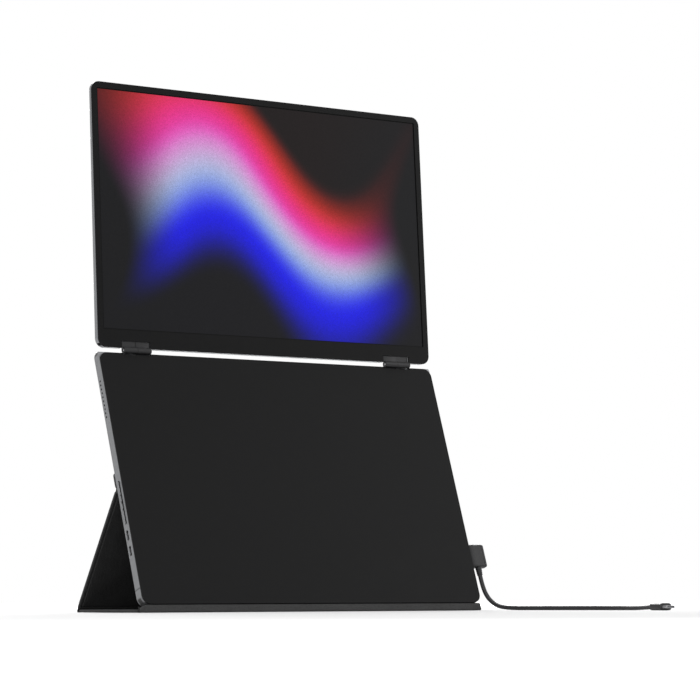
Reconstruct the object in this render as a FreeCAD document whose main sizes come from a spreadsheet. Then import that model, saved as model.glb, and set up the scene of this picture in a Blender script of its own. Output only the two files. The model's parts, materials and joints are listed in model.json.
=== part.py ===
import FreeCAD, Part
import math
import os

import Sketcher

# Stacked screen extender: a display panel hinged on top of a support housing,
# which leans on a three-panel folding cover. Millimetres, +X right, +Y back, +Z up.
# The origin is the centre of the footprint, on the surface that the stand rests on.

os.makedirs("parts", exist_ok=True)
doc = FreeCAD.newDocument("screen_extender")
sheet = doc.addObject("Spreadsheet::Sheet", "sizes")
X_AXIS = FreeCAD.Vector(1, 0, 0)
sheet_rows = []
finished = []


class Size:
    """A number together with the sheet expression that it comes from."""

    def __init__(self, value, text):
        self.value = float(value)
        self.text = text

    def __float__(self):
        return self.value

    def __add__(self, other):
        other = as_size(other)
        return Size(self.value + other.value, f"({self.text} + {other.text})")

    def __radd__(self, other):
        return as_size(other) + self

    def __sub__(self, other):
        other = as_size(other)
        return Size(self.value - other.value, f"({self.text} - {other.text})")

    def __rsub__(self, other):
        return as_size(other) - self

    def __mul__(self, other):
        other = as_size(other)
        return Size(self.value * other.value, f"({self.text} * {other.text})")

    def __rmul__(self, other):
        return as_size(other) * self

    def __truediv__(self, other):
        other = as_size(other)
        return Size(self.value / other.value, f"({self.text} / {other.text})")

    def __neg__(self):
        return 0 - self


def as_size(number):
    return number if isinstance(number, Size) else Size(number, repr(float(number)))


def size(name, value, note):
    """Write one driving dimension to the sheet and return it."""
    row = len(sheet_rows) + 1
    sheet.set(f"A{row}", name)
    sheet.set(f"B{row}", str(value))
    sheet.setAlias(f"B{row}", name)
    sheet.set(f"C{row}", note)
    sheet_rows.append(name)
    return Size(value, f"sizes.{name}")


# Overall panels
width = size("width", 356.0, "width of both panels and of the cover")
corner_radius = size("corner_radius", 8.0, "outer corners in the front view")
lower_height = size("lower_height", 236.5, "support housing along its back")
lower_shell_depth = size("lower_shell_depth", 9.4, "aluminium part of the housing's thickness")
front_plate_depth = size("front_plate_depth", 1.2, "dark plate on the housing's front")
lower_wall = size("lower_wall", 2.0, "side walls of the housing")
lower_floor = size("lower_floor", 1.2, "back wall of the housing")
end_cap_height = size("end_cap_height", 14.6, "separate bottom end of the housing")
seam_gap = size("seam_gap", 0.15, "seam between the shell and its end cap")
top_bevel = size("top_bevel", 5.0, "how much shorter the housing is at its front edge")
back_round = size("back_round", 1.2, "rounded back edge of the housing")
overcut = size("overcut", 2.0, "how far a sloped cut runs past the panel")
lower_tilt = size("lower_tilt", 19.5, "housing leans back, degrees")

# Display panel
upper_tilt = size("upper_tilt", 3.6, "display leans back, degrees")
side_bezel = size("side_bezel", 5.65, "bezel beside the picture, which is 344.7 wide, 16-inch 16:10")
screen_height = size("screen_height", 215.4, "picture height")
top_bezel = size("top_bezel", 5.6, "bezel above the picture")
chin = size("chin", 16.1, "bezel below the picture")
bezel_depth = size("bezel_depth", 0.8, "bezel plate")
window_corner = size("window_corner", 1.0, "corners of the bezel's window")
cover_depth_bottom = size("cover_depth_bottom", 5.8, "display cover at its lower edge")
cover_depth_top = size("cover_depth_top", 3.7, "display cover at its upper edge")
cover_wall = size("cover_wall", 1.3, "side walls of the display cover")
cover_round = size("cover_round", 1.0, "rounded back edge of the display")
lcd_depth = size("lcd_depth", 1.0, "liquid crystal panel")
light_guide_depth = size("light_guide_depth", 1.2, "light guide with its films")
tray_depth = size("tray_depth", 0.4, "steel tray behind the light guide")
panel_margin = size("panel_margin", 2.4, "panel edge hidden behind the bezel")
chin_pocket_depth = size("chin_pocket_depth", 4.7, "deeper pocket for the driver board")
chin_corner = size("chin_corner", 3.0, "corners of that pocket")
led_bar_height = size("led_bar_height", 2.2, "light bar under the light guide")
led_end_gap = size("led_end_gap", 1.0, "light bar's end to the hinge's notch")
driver_board_width = size("driver_board_width", 210.0, "driver board in the chin")
driver_board_height = size("driver_board_height", 9.0, "driver board, up the panel")
driver_board_gap = size("driver_board_gap", 1.0, "driver board to the display's lower wall")
board_depth = size("board_depth", 1.0, "thickness of every circuit board")

# Screen hinge
hinge_drop = size("hinge_drop", 2.5, "hinge axis below the housing's upper end")
hinge_lift = size("hinge_lift", 0.6, "hinge axis in front of both front faces")
panel_gap = size("panel_gap", 2.0, "hinge axis to the display's lower edge")
hinge_edge = size("hinge_edge", 38.0, "middle of each hinge from the panels' side edge")
hinge_pocket = size("hinge_pocket", 28.6, "width of the notch for each hinge")
hinge_side_gap = size("hinge_side_gap", 0.6, "hinge to the side of its notch")
barrel_radius = size("barrel_radius", 2.9, "outside of the hinge barrels")
pin_radius = size("pin_radius", 1.2, "hinge pin")
running_gap = size("running_gap", 0.05, "radial clearance round the pin")
knuckle_gap = size("knuckle_gap", 0.2, "between the two barrels of a hinge")
leaf_depth = size("leaf_depth", 1.0, "hinge leaf")
lower_leaf_length = size("lower_leaf_length", 34.0, "lower leaf from the axis to its end")
upper_leaf_gap = size("upper_leaf_gap", 0.4, "upper leaf's end to the crystal panel's edge")
barrel_pocket = size("barrel_pocket", 4.2, "notch in the housing below the hinge axis")
upper_pocket = size("upper_pocket", 8.2, "notch in the display above the hinge axis")
pocket_wall = size("pocket_wall", 1.2, "walls round the notch inside the display")
leaf_start = size("leaf_start", 0.8, "notch's end to the wide part of a leaf")
leaf_slit = size("leaf_slit", 0.15, "slit round the upper leaf where it enters the display")
pin_inset = size("pin_inset", 0.4, "pin's end inside the barrel's end")
leaf_bed = size("leaf_bed", 0.8, "housing's notch behind the lower leaf")

# Folding cover
panel_depth = size("panel_depth", 2.6, "cover panels")
panel_board = size("panel_board", 1.4, "stiff board inside a cover panel")
panel_hem = size("panel_hem", 4.0, "cover edge to the board inside")
back_gap = size("back_gap", 0.3, "cover to the housing's back when it lies flat")
base_length = size("base_length", 104.4, "first fold to the foot")
prop_length = size("prop_length", 123.7, "foot to the upper fold")
strip_length = size("strip_length", 15.0, "end strip above the upper fold")
foot_fold_gap = size("foot_fold_gap", 2.6, "base panel's end to the foot's axis")
fold_gap = size("fold_gap", 1.4, "prop panel's end to the upper fold's axis")
foot_height = size("foot_height", 3.8, "lower back edge of the housing above the surface")
side_inset = size("side_inset", 0.1, "cover's side edge inside the housing's")
magnet_width = size("magnet_width", 20.0, "each magnet in the end strip")
magnet_height = size("magnet_height", 5.0, "each magnet, up the strip")
magnet_pitch = size("magnet_pitch", 60.0, "between magnets")

# Ports, keys and sound
socket_width = size("socket_width", 8.94, "outside of the socket shell, up the housing")
socket_depth = size("socket_depth", 3.26, "outside of the socket shell, front to back")
socket_length = size("socket_length", 7.3, "socket shell into the housing")
socket_wall = size("socket_wall", 0.3, "sheet of the socket shell")
socket_setback = size("socket_setback", 0.4, "socket mouth inside the outer face")
tongue_depth = size("tongue_depth", 0.7, "contact tongue")
tongue_setback = size("tongue_setback", 0.8, "tongue's tip inside the socket's mouth")
tongue_side = size("tongue_side", 1.2, "tongue's side to the socket's outside")
socket_corner = size("socket_corner", 1.5, "rounded edges of the socket shell")
port_clearance = size("port_clearance", 0.12, "hole in the wall round the socket")
port_centre = size("port_centre", 4.7, "port centre in front of the back face")
port_low = size("port_low", 49.5, "lower left port above the housing's end")
port_high = size("port_high", 63.6, "upper left port")
port_right = size("port_right", 52.0, "right port, which holds the lead")
key_slot_low = size("key_slot_low", 73.6, "lower end of the key slot")
key_slot_length = size("key_slot_length", 39.3, "length of the key slot")
key_slot_width = size("key_slot_width", 3.3, "key slot, front to back")
key_slot_centre = size("key_slot_centre", 4.95, "key slot's middle in front of the back face")
key_clearance = size("key_clearance", 0.15, "key to the back and ends of its slot")
key_front_gap = size("key_front_gap", 1.0, "key to the front side of its slot")
key_proud = size("key_proud", 0.8, "key face outside the wall")
key_stop = size("key_stop", 0.1, "flange to the wall's inner face")
key_corner = size("key_corner", 0.97, "rounded ends of a key")
key_travel = size("key_travel", 0.4, "stroke of a key")
key_flange = size("key_flange", 0.8, "flange that keeps a key in")
key_flange_lip = size("key_flange_lip", 0.7, "flange beyond the slot")
dome_radius = size("dome_radius", 1.4, "dome switches behind the keys")
dome_depth = size("dome_depth", 1.05, "dome switch in front of its strip")
dome_gap = size("dome_gap", 0.05, "pressed key to its dome switch")
key_board_gap = size("key_board_gap", 0.6, "strip behind the keys to the front plate")
sound_hole_radius = size("sound_hole_radius", 0.95, "small round holes in the side walls")
sound_hole_drop = size("sound_hole_drop", 30.34, "highest sound hole below the housing's upper end")
sound_hole_pitch = size("sound_hole_pitch", 3.74, "between sound holes")
sound_hole_centre = size("sound_hole_centre", 3.9, "sound holes in front of the back face")
speaker_length = size("speaker_length", 44.0, "speaker box up the housing")
speaker_width = size("speaker_width", 16.0, "speaker box inwards")
speaker_depth = size("speaker_depth", 6.4, "speaker box front to back")
speaker_gap = size("speaker_gap", 0.2, "speaker box to the side wall")
speaker_cone = size("speaker_cone", 5.8, "radius of the speaker's surround")
speaker_rise = size("speaker_rise", 0.6, "surround in front of the speaker box")
main_board_width = size("main_board_width", 96.0, "main board inwards")
main_board_height = size("main_board_height", 72.0, "main board up the housing")
wall_to_board = size("wall_to_board", 2.4, "side wall to the main board")
wall_to_port_board = size("wall_to_port_board", 0.5, "side wall to the small board")
main_board_low = size("main_board_low", 36.0, "lower edge of the main board")
port_board_width = size("port_board_width", 26.0, "small board behind the right port")
port_board_height = size("port_board_height", 34.0, "small board up the housing")
boss_radius = size("boss_radius", 2.6, "screw bosses under the boards")
boss_margin = size("boss_margin", 1.0, "boss's side to the board's edge")
boss_root = size("boss_root", 0.2, "boss sunk into the housing's back wall")
board_corner = size("board_corner", 1.5, "rounded corners of the boards")
screw_clearance = size("screw_clearance", 0.1, "screw's shank to its hole in a board")
screw_radius = size("screw_radius", 0.8, "shank of the small screws")
screw_head_radius = size("screw_head_radius", 1.7, "head of the small screws")
screw_head_depth = size("screw_head_depth", 0.8, "head height")
holding_plate_height = size("holding_plate_height", 14.0, "steel plate that the magnets grip")
holding_plate_depth = size("holding_plate_depth", 0.8, "thickness of that plate")
holding_plate_inset = size("holding_plate_inset", 30.0, "housing's side to that plate's end")
foot_inset = size("foot_inset", 1.0, "housing's side to the foot's end")
foot_drop = size("foot_drop", 9.0, "foot block below the housing's end before it is cut level")

# Lead and its plugs
plug_gap = size("plug_gap", 1.0, "angled plug to the housing's side")
plug_reach = size("plug_reach", 18.0, "angled plug outwards")
plug_above = size("plug_above", 5.2, "angled plug above its port")
plug_below = size("plug_below", 16.5, "angled plug below its port")
plug_depth = size("plug_depth", 7.4, "angled plug front to back")
plug_fillet = size("plug_fillet", 1.6, "rounded edges of both plugs")
shell_width = size("shell_width", 8.25, "metal shell of a plug")
shell_depth = size("shell_depth", 2.4, "metal shell of a plug, thin way")
shell_length = size("shell_length", 6.65, "metal shell of a plug")
shell_wall = size("shell_wall", 0.3, "sheet of a plug shell")
relief_length = size("relief_length", 7.5, "strain relief under the angled plug")
relief_radius = size("relief_radius", 3.0, "strain relief at the plug")
relief_end_radius = size("relief_end_radius", 2.5, "strain relief at the lead")
cable_radius = size("cable_radius", 2.0, "lead")
end_plug_length = size("end_plug_length", 22.0, "straight plug body")
end_plug_width = size("end_plug_width", 10.6, "straight plug body")
end_plug_depth = size("end_plug_depth", 6.2, "straight plug body, thin way")

doc.recompute()

# Derived values
half_width = width / 2
half_panel = panel_depth / 2
lower_depth = lower_shell_depth + front_plate_depth
upper_height = chin + screen_height + top_bezel
screen_width = width - 2 * side_bezel
hinge_height = lower_height - hinge_drop
hinge_centre = half_width - hinge_edge
SOUND_HOLES = 10
sound_hole_low = lower_height - sound_hole_drop - sound_hole_pitch * (SOUND_HOLES - 1)
KEYS = ("menu_key", "volume_up_key", "volume_down_key")
tilt = math.radians(float(lower_tilt))
lean = (math.sin(tilt), math.cos(tilt))


def on_housing(up, forward, back_corner):
    """World Y and Z of a place given along the housing and in front of its back face."""
    y = back_corner[0] + up * lean[0] - forward * lean[1]
    z = back_corner[1] + up * lean[1] + forward * lean[0]
    return y, z


# The first fold: the panel's middle plane lies on the surface now, and along the back when folded.
fold_offset = float(back_gap + half_panel)
first_fold_up = (float(half_panel) - float(foot_height) + fold_offset * lean[0]) / lean[1]
loose_corner = (0.0, float(foot_height))
fold_y = on_housing(first_fold_up, -fold_offset, loose_corner)[0]
front_corner = on_housing(0.0, float(lower_depth), loose_corner)
front_y = front_corner[0] - front_corner[1] * lean[0] / lean[1]
foot_y = fold_y + float(base_length + half_panel)
middle_y = (front_y + foot_y) / 2
back_corner = (-middle_y, float(foot_height))
first_fold = on_housing(first_fold_up, -fold_offset, back_corner)
foot_fold = (first_fold[0] + float(base_length), first_fold[1])

# The upper fold lies on the line behind the back face, one prop length from the foot.
along = (foot_fold[0] - first_fold[0]) * lean[0] + (foot_fold[1] - first_fold[1]) * lean[1]
off_line = (foot_fold[0] - first_fold[0]) * lean[1] - (foot_fold[1] - first_fold[1]) * lean[0]
reach = math.sqrt(float(prop_length) ** 2 - off_line ** 2)
upper_fold = on_housing(first_fold_up + along + reach, -fold_offset, back_corner)
prop_angle = math.degrees(math.atan2(upper_fold[1] - foot_fold[1], upper_fold[0] - foot_fold[0]))
hinge_axis = on_housing(float(hinge_height), float(lower_depth + hinge_lift), back_corner)


def frame_at(point, angle):
    """Panel frame: x across, y up the panel, z out of its front or upper face."""
    base = FreeCAD.Vector(0, point[0], point[1])
    return FreeCAD.Placement(base, FreeCAD.Rotation(X_AXIS, angle))


LOWER = frame_at(back_corner, 90 - float(lower_tilt))
UPPER = frame_at(hinge_axis, 90 - float(upper_tilt))
BASE = frame_at(first_fold, 0)
PROP = frame_at(foot_fold, prop_angle)
STRIP = frame_at(upper_fold, 90 - float(lower_tilt))
WORLD = FreeCAD.Placement()
TURN_TO_X = FreeCAD.Rotation(FreeCAD.Vector(0, 1, 0), FreeCAD.Vector(0, 0, 1), FreeCAD.Vector(1, 0, 0))


# Building helpers

def bind(thing, prop, amount):
    amount = as_size(amount)
    thing.setExpression(prop, amount.text)


def place_by(thing, x, y, z):
    """Bind the place of a primitive in its panel frame."""
    for letter, amount in (("x", x), ("y", y), ("z", z)):
        bind(thing, f"Placement.Base.{letter}", amount)


def box(name, x_span, y_span, z_span):
    """Box between two values on each axis of its panel frame."""
    thing = doc.addObject("Part::Box", name)
    bind(thing, "Length", x_span[1] - x_span[0])
    bind(thing, "Width", y_span[1] - y_span[0])
    bind(thing, "Height", z_span[1] - z_span[0])
    place_by(thing, x_span[0], y_span[0], z_span[0])
    return thing


def rod(name, radius, x_span, y, z):
    """Cylinder along X."""
    thing = doc.addObject("Part::Cylinder", name)
    thing.Placement = FreeCAD.Placement(FreeCAD.Vector(), FreeCAD.Rotation(FreeCAD.Vector(0, 1, 0), 90))
    bind(thing, "Radius", radius)
    bind(thing, "Height", x_span[1] - x_span[0])
    place_by(thing, x_span[0], y, z)
    return thing


def post(name, radius, x, y, z_span):
    """Cylinder through the thickness of a panel."""
    thing = doc.addObject("Part::Cylinder", name)
    bind(thing, "Radius", radius)
    bind(thing, "Height", z_span[1] - z_span[0])
    place_by(thing, x, y, z_span[0])
    return thing


def fuse(name, *things):
    joined = doc.addObject("Part::MultiFuse", name)
    joined.Shapes = list(things)
    return joined


def cut(name, base, tool):
    result = doc.addObject("Part::Cut", name)
    result.Base = base
    result.Tool = tool
    return result


def common(name, base, tool):
    result = doc.addObject("Part::Common", name)
    result.Base = base
    result.Tool = tool
    return result


def group(name, *things):
    """Several separate solids of one kind under one name."""
    bundle = doc.addObject("Part::Compound", name)
    bundle.Links = list(things)
    return bundle


def in_frame(name, thing, frame):
    """Carry a piece from its panel frame to its place in the whole object."""
    carrier = group(name, thing)
    carrier.Placement = frame
    return carrier


def finish(node, thing, frame=WORLD):
    """Name a piece and put it in its panel frame."""
    if any("Placement" in path for path, text in thing.ExpressionEngine):
        thing = in_frame(f"{node}_placed", thing, frame)
    else:
        thing.Placement = frame.multiply(thing.Placement)
    thing.Label = node
    finished.append(thing)
    return thing


def origin_plane(body, role):
    return next(plane for plane in body.Origin.OriginFeatures if plane.Role == role)


def new_sketch(body, name, role, offset):
    drawing = body.newObject("Sketcher::SketchObject", name)
    drawing.AttachmentSupport = (origin_plane(body, role), [""])
    drawing.MapMode = "FlatFace"
    bind(drawing, "AttachmentOffset.Base.z", offset)
    return drawing


def hold(drawing, constraint, name, amount):
    """Add a measured constraint and bind it to its size."""
    index = drawing.addConstraint(constraint)
    drawing.renameConstraint(index, name)
    bind(drawing, f"Constraints.{name}", amount)


def rounded_rectangle(drawing, x_span, y_span, radius):
    """Rectangle with round corners between two values on each axis."""
    left, right = float(x_span[0]), float(x_span[1])
    low, high = float(y_span[0]), float(y_span[1])
    r = float(radius)
    corners = ((right - r, low + r), (right - r, high - r), (left + r, high - r), (left + r, low + r))
    ends = (
        ((left + r, low), (right - r, low)),
        ((right, low + r), (right, high - r)),
        ((right - r, high), (left + r, high)),
        ((left, high - r), (left, low + r)),
    )
    for turn, ((start, end), centre) in enumerate(zip(ends, corners)):
        drawing.addGeometry(Part.LineSegment(FreeCAD.Vector(*start, 0), FreeCAD.Vector(*end, 0)), False)
        circle = Part.Circle(FreeCAD.Vector(*centre, 0), FreeCAD.Vector(0, 0, 1), r)
        angle = math.radians(90 * turn - 90)
        drawing.addGeometry(Part.ArcOfCircle(circle, angle, angle + math.pi / 2), False)
    sides = 8
    for item in range(sides):
        drawing.addConstraint(Sketcher.Constraint("Tangent", item, 2, (item + 1) % sides, 1))
    drawing.addConstraint(Sketcher.Constraint("Horizontal", 0))
    drawing.addConstraint(Sketcher.Constraint("Horizontal", 4))
    drawing.addConstraint(Sketcher.Constraint("Vertical", 2))
    drawing.addConstraint(Sketcher.Constraint("Vertical", 6))
    for arc in (3, 5, 7):
        drawing.addConstraint(Sketcher.Constraint("Equal", 1, arc))
    hold(drawing, Sketcher.Constraint("Radius", 1, r), "corner", radius)
    hold(drawing, Sketcher.Constraint("DistanceX", -1, 1, 6, 1, left), "left", x_span[0])
    hold(drawing, Sketcher.Constraint("DistanceX", -1, 1, 2, 1, right), "right", x_span[1])
    hold(drawing, Sketcher.Constraint("DistanceY", -1, 1, 0, 1, low), "low", y_span[0])
    hold(drawing, Sketcher.Constraint("DistanceY", -1, 1, 4, 1, high), "high", y_span[1])


def polygon(drawing, points):
    """Closed outline; each corner's two coordinates are bound to their sizes."""
    count = len(points)
    for item, start in enumerate(points):
        end = points[(item + 1) % count]
        drawing.addGeometry(
            Part.LineSegment(
                FreeCAD.Vector(float(start[0]), float(start[1]), 0),
                FreeCAD.Vector(float(end[0]), float(end[1]), 0),
            ),
            False,
        )
    for item in range(count):
        drawing.addConstraint(Sketcher.Constraint("Coincident", item, 2, (item + 1) % count, 1))
    for item, (x, y) in enumerate(points):
        hold(drawing, Sketcher.Constraint("DistanceX", -1, 1, item, 1, float(x)), f"x{item}", x)
        hold(drawing, Sketcher.Constraint("DistanceY", -1, 1, item, 1, float(y)), f"y{item}", y)


def plate(name, x_span, y_span, z_span, radius):
    """Slab with round corners in the front view."""
    body = doc.addObject("PartDesign::Body", name)
    drawing = new_sketch(body, f"{name}_outline", "XY_Plane", z_span[0])
    rounded_rectangle(drawing, x_span, y_span, radius)
    pad = body.newObject("PartDesign::Pad", f"{name}_pad")
    pad.Profile = drawing
    bind(pad, "Length", z_span[1] - z_span[0])
    doc.recompute()
    return body


def recess(body, name, x_span, y_span, front, depth, radius):
    """Pocket from a plane in front, with round corners."""
    drawing = new_sketch(body, f"{name}_outline", "XY_Plane", front)
    rounded_rectangle(drawing, x_span, y_span, radius)
    pocket = body.newObject("PartDesign::Pocket", name)
    pocket.Profile = drawing
    bind(pocket, "Length", depth)
    before = body.Shape.Volume
    doc.recompute()
    if body.Shape.Volume >= before:
        raise RuntimeError(f"{name} cut nothing")


def side_cut(body, name, points):
    """Cut through the whole width with an outline seen from the side."""
    drawing = new_sketch(body, f"{name}_outline", "YZ_Plane", Size(0, "0"))
    polygon(drawing, points)
    pocket = body.newObject("PartDesign::Pocket", name)
    pocket.Profile = drawing
    pocket.Type = "ThroughAll"
    pocket.Midplane = True
    before = body.Shape.Volume
    doc.recompute()
    if body.Shape.Volume >= before:
        raise RuntimeError(f"{name} cut nothing")


def round_back(body, name, radius):
    """Round every edge of a panel's back face."""
    base = body.Tip
    shape = base.Shape
    back = min((face for face in shape.Faces if face.normalAt(0, 0).z < -0.9), key=lambda face: -face.Area)
    edges = [
        f"Edge{index}" for index, edge in enumerate(shape.Edges, 1)
        if any(edge.isSame(other) for other in back.Edges)
    ]
    fillet = body.newObject("PartDesign::Fillet", name)
    fillet.Base = (base, edges)
    bind(fillet, "Radius", radius)
    doc.recompute()


def mirrored_span(side, low, high):
    """An X range on the right (side 1) or left (side -1)."""
    return (low, high) if side > 0 else (-high, -low)


def centred(middle, length):
    return (middle - length / 2, middle + length / 2)


SIDES = (("left", -1), ("right", 1))

# Support housing: aluminium tray, with its bottom end as a cap of its own
board_back = port_centre - socket_depth / 2 - board_depth
inner_half = half_width - lower_wall
tray = plate("lower_tray", (-half_width, half_width), (as_size(0), lower_height),
             (as_size(0), lower_shell_depth), corner_radius)
round_back(tray, "back_edge", back_round)
side_cut(tray, "top_slope", (
    (lower_height, as_size(0)),
    (lower_height + overcut, as_size(0)),
    (lower_height + overcut, lower_shell_depth + overcut),
    (lower_height - top_bevel * (lower_shell_depth + overcut) / lower_depth, lower_shell_depth + overcut),
))
recess(tray, "tray_hollow", (-inner_half, inner_half),
       (lower_wall, lower_height - top_bevel - lower_wall),
       lower_shell_depth, lower_shell_depth - lower_floor, corner_radius - lower_wall)


def port_hole(name, side, up):
    """Hole in a side wall round a socket, with round ends."""
    across = socket_width + 2 * port_clearance
    thin = socket_depth + 2 * port_clearance
    wall = mirrored_span(side, inner_half - 1, half_width + 1)
    straight = box(f"{name}_flat", wall, centred(up, across - thin), centred(port_centre, thin))
    ends = [
        rod(f"{name}_end_{tag}", thin / 2, wall, up + sign * (across - thin) / 2, port_centre)
        for tag, sign in (("low", -1), ("high", 1))
    ]
    return fuse(name, straight, *ends)


def sound_holes(name, side):
    """Row of small holes in a side wall."""
    wall = mirrored_span(side, inner_half - 1, half_width + 1)
    return fuse(name, *[
        rod(f"{name}_{count}", sound_hole_radius, wall,
            sound_hole_low + count * sound_hole_pitch, sound_hole_centre)
        for count in range(SOUND_HOLES)
    ])


key_slot_span = (key_slot_low, key_slot_low + key_slot_length)
left_wall = mirrored_span(-1, inner_half - 1, half_width + 1)
key_slot = plate("key_slot", key_slot_span, centred(key_slot_centre, key_slot_width), left_wall,
                 key_corner + key_clearance)
key_slot.Placement = FreeCAD.Placement(FreeCAD.Vector(), TURN_TO_X)


def hinge_notch(name, side, y_span, z_span):
    return box(name, mirrored_span(side, hinge_centre - hinge_pocket / 2, hinge_centre + hinge_pocket / 2),
               y_span, z_span)


# Lower leaves lie under the front plate, level with the back of the barrels.
lower_axis_z = lower_depth + hinge_lift
leaf_back = lower_axis_z - barrel_radius
lower_notches = [
    hinge_notch(f"lower_notch_{tag}", side, (lower_height - top_bevel - lower_wall - 1, lower_height + 1),
                (leaf_back - leaf_bed, lower_shell_depth + 1))
    for tag, side in SIDES
]
openings = fuse(
    "tray_openings",
    port_hole("port_hole_low", -1, port_low),
    port_hole("port_hole_high", -1, port_high),
    port_hole("port_hole_right", 1, port_right),
    sound_holes("sound_left", -1),
    sound_holes("sound_right", 1),
    key_slot,
    *lower_notches,
)

# Bosses stand on the housing's back wall and carry the boards.
main_board_x = (-inner_half + wall_to_board, -inner_half + wall_to_board + main_board_width)
main_board_y = (main_board_low, main_board_low + main_board_height)
port_board_x = (inner_half - wall_to_port_board - port_board_width, inner_half - wall_to_port_board)
port_board_y = centred(port_right, port_board_height)
boss_inset = boss_radius + boss_margin


def board_corners(x_span, y_span):
    return [
        (x, y)
        for x in (x_span[0] + boss_inset, x_span[1] - boss_inset)
        for y in (y_span[0] + boss_inset, y_span[1] - boss_inset)
    ]


boss_places = board_corners(main_board_x, main_board_y) + board_corners(port_board_x, port_board_y)
bosses = [
    post(f"boss_{count}", boss_radius, x, y, (lower_floor - boss_root, board_back))
    for count, (x, y) in enumerate(boss_places)
]
boss_holes = [
    post(f"boss_hole_{count}", screw_radius, x, y, (lower_floor, lower_shell_depth))
    for count, (x, y) in enumerate(boss_places)
]
opened_tray = cut("opened_tray", fuse("tray_with_bosses", tray, *bosses),
                  fuse("tray_tools", openings, *boss_holes))
across_all = (-half_width - 1, half_width + 1)
whole_depth = (as_size(-1), lower_shell_depth + 1)
finish("lower_back_shell", common(
    "back_shell", opened_tray,
    box("above_seam", across_all, (end_cap_height, lower_height + 1), whole_depth)), LOWER)
finish("lower_end_cap", common(
    "end_cap", opened_tray,
    box("below_seam", across_all, (as_size(-1), end_cap_height - seam_gap), whole_depth)), LOWER)

# Dark plate on the housing's front
front_plate = plate("front_plate_slab", (-half_width, half_width),
                    (as_size(0), lower_height - top_bevel),
                    (lower_shell_depth, lower_depth), corner_radius)
plate_notches = [
    hinge_notch(f"plate_notch_{tag}", side, (hinge_height - barrel_pocket, lower_height),
                (lower_shell_depth - 1, lower_depth + 1))
    for tag, side in SIDES
]
finish("lower_front_plate", cut("front_plate", front_plate, fuse("plate_notches", *plate_notches)), LOWER)

# Boards
board_span = (board_back, board_back + board_depth)


def drilled_board(name, x_span, y_span, places):
    holes = [
        post(f"{name}_hole_{count}", screw_radius + screw_clearance, x, y, (board_span[0] - 1, board_span[1] + 1))
        for count, (x, y) in enumerate(places)
    ]
    return cut(name, plate(f"{name}_sheet", x_span, y_span, board_span, board_corner),
               fuse(f"{name}_holes", *holes))


finish("main_board", drilled_board("board_main", main_board_x, main_board_y, boss_places[:4]), LOWER)
finish("port_board", drilled_board("board_port", port_board_x, port_board_y, boss_places[4:]), LOWER)


def screw(name, x, y, seat, grip):
    """Small screw whose head sits on a board; its shank runs back into the boss."""
    return fuse(name, post(f"{name}_head", screw_head_radius, x, y, (seat, seat + screw_head_depth)),
                post(f"{name}_shank", screw_radius, x, y, (seat - grip, seat + screw_head_depth / 2)))


finish("board_screws", group("board_screw_set", *[
    screw(f"board_screw_{count}", x, y, board_span[1], board_depth + (board_back - lower_floor))
    for count, (x, y) in enumerate(boss_places)
]), LOWER)


def socket(name, side, up):
    """Socket shell with a closed back and a contact tongue, mouth outwards."""
    mouth = half_width - socket_setback
    deep = mouth - socket_length
    across = centred(up, socket_width)
    thick = centred(port_centre, socket_depth)
    shell = box(f"{name}_shell", mirrored_span(side, deep, mouth), across, thick)
    hollow = box(f"{name}_hollow", mirrored_span(side, deep + 2 * socket_wall, mouth + 1),
                 (across[0] + socket_wall, across[1] - socket_wall),
                 (thick[0] + socket_wall, thick[1] - socket_wall))
    tongue = box(f"{name}_tongue", mirrored_span(side, deep + socket_wall, mouth - tongue_setback),
                 centred(up, socket_width - 2 * tongue_side), centred(port_centre, tongue_depth))
    rounded = doc.addObject("Part::Fillet", f"{name}_rounded")
    rounded.Base = shell
    radius = float(socket_corner)
    doc.recompute()
    rounded.Edges = [
        (index, radius, radius) for index, edge in enumerate(shell.Shape.Edges, 1)
        if edge.BoundBox.XLength > 1
    ]
    return fuse(name, cut(f"{name}_opened", rounded, hollow), tongue)


finish("left_socket_low", socket("socket_low", -1, port_low), LOWER)
finish("left_socket_high", socket("socket_high", -1, port_high), LOWER)
finish("right_socket", socket("socket_right", 1, port_right), LOWER)

# Keys in the slot: each has a face in the slot and a flange behind the wall
key_length = (key_slot_length - (len(KEYS) + 1) * key_clearance) / len(KEYS)
key_face_span = (key_slot_centre - key_slot_width / 2 + key_clearance,
                 key_slot_centre + key_slot_width / 2 - key_front_gap)
key_back = inner_half - key_travel - key_stop
for number, key in enumerate(KEYS):
    low = key_slot_low + key_clearance + (len(KEYS) - 1 - number) * (key_length + key_clearance)
    face = plate(f"{key}_face", (low, low + key_length), key_face_span,
                 (-half_width - key_proud, -key_back), key_corner)
    face.Placement = FreeCAD.Placement(FreeCAD.Vector(), TURN_TO_X)
    flange = box(f"{key}_flange", mirrored_span(-1, key_back - key_flange, key_back),
                 (low + key_stop, low + key_length - key_stop),
                 centred(key_slot_centre, key_slot_width + 2 * key_flange_lip))
    finish(key, fuse(f"{key}_whole", face, flange), LOWER)

# Dome switches on a strip behind the keys; each waits just past the end of a key's stroke
dome_end = key_back - key_flange - key_travel - dome_gap
key_board = box("key_board_strip", mirrored_span(-1, dome_end - dome_depth - board_depth, dome_end - dome_depth),
                key_slot_span, (board_span[1], lower_shell_depth - key_board_gap))
switches = [
    rod(f"dome_{number}", dome_radius, mirrored_span(-1, dome_end - dome_depth - board_depth / 2, dome_end),
        key_slot_low + key_slot_length * (number + 0.5) / len(KEYS), key_slot_centre)
    for number in range(len(KEYS))
]
finish("key_board", fuse("key_board_whole", key_board, *switches), LOWER)

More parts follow.
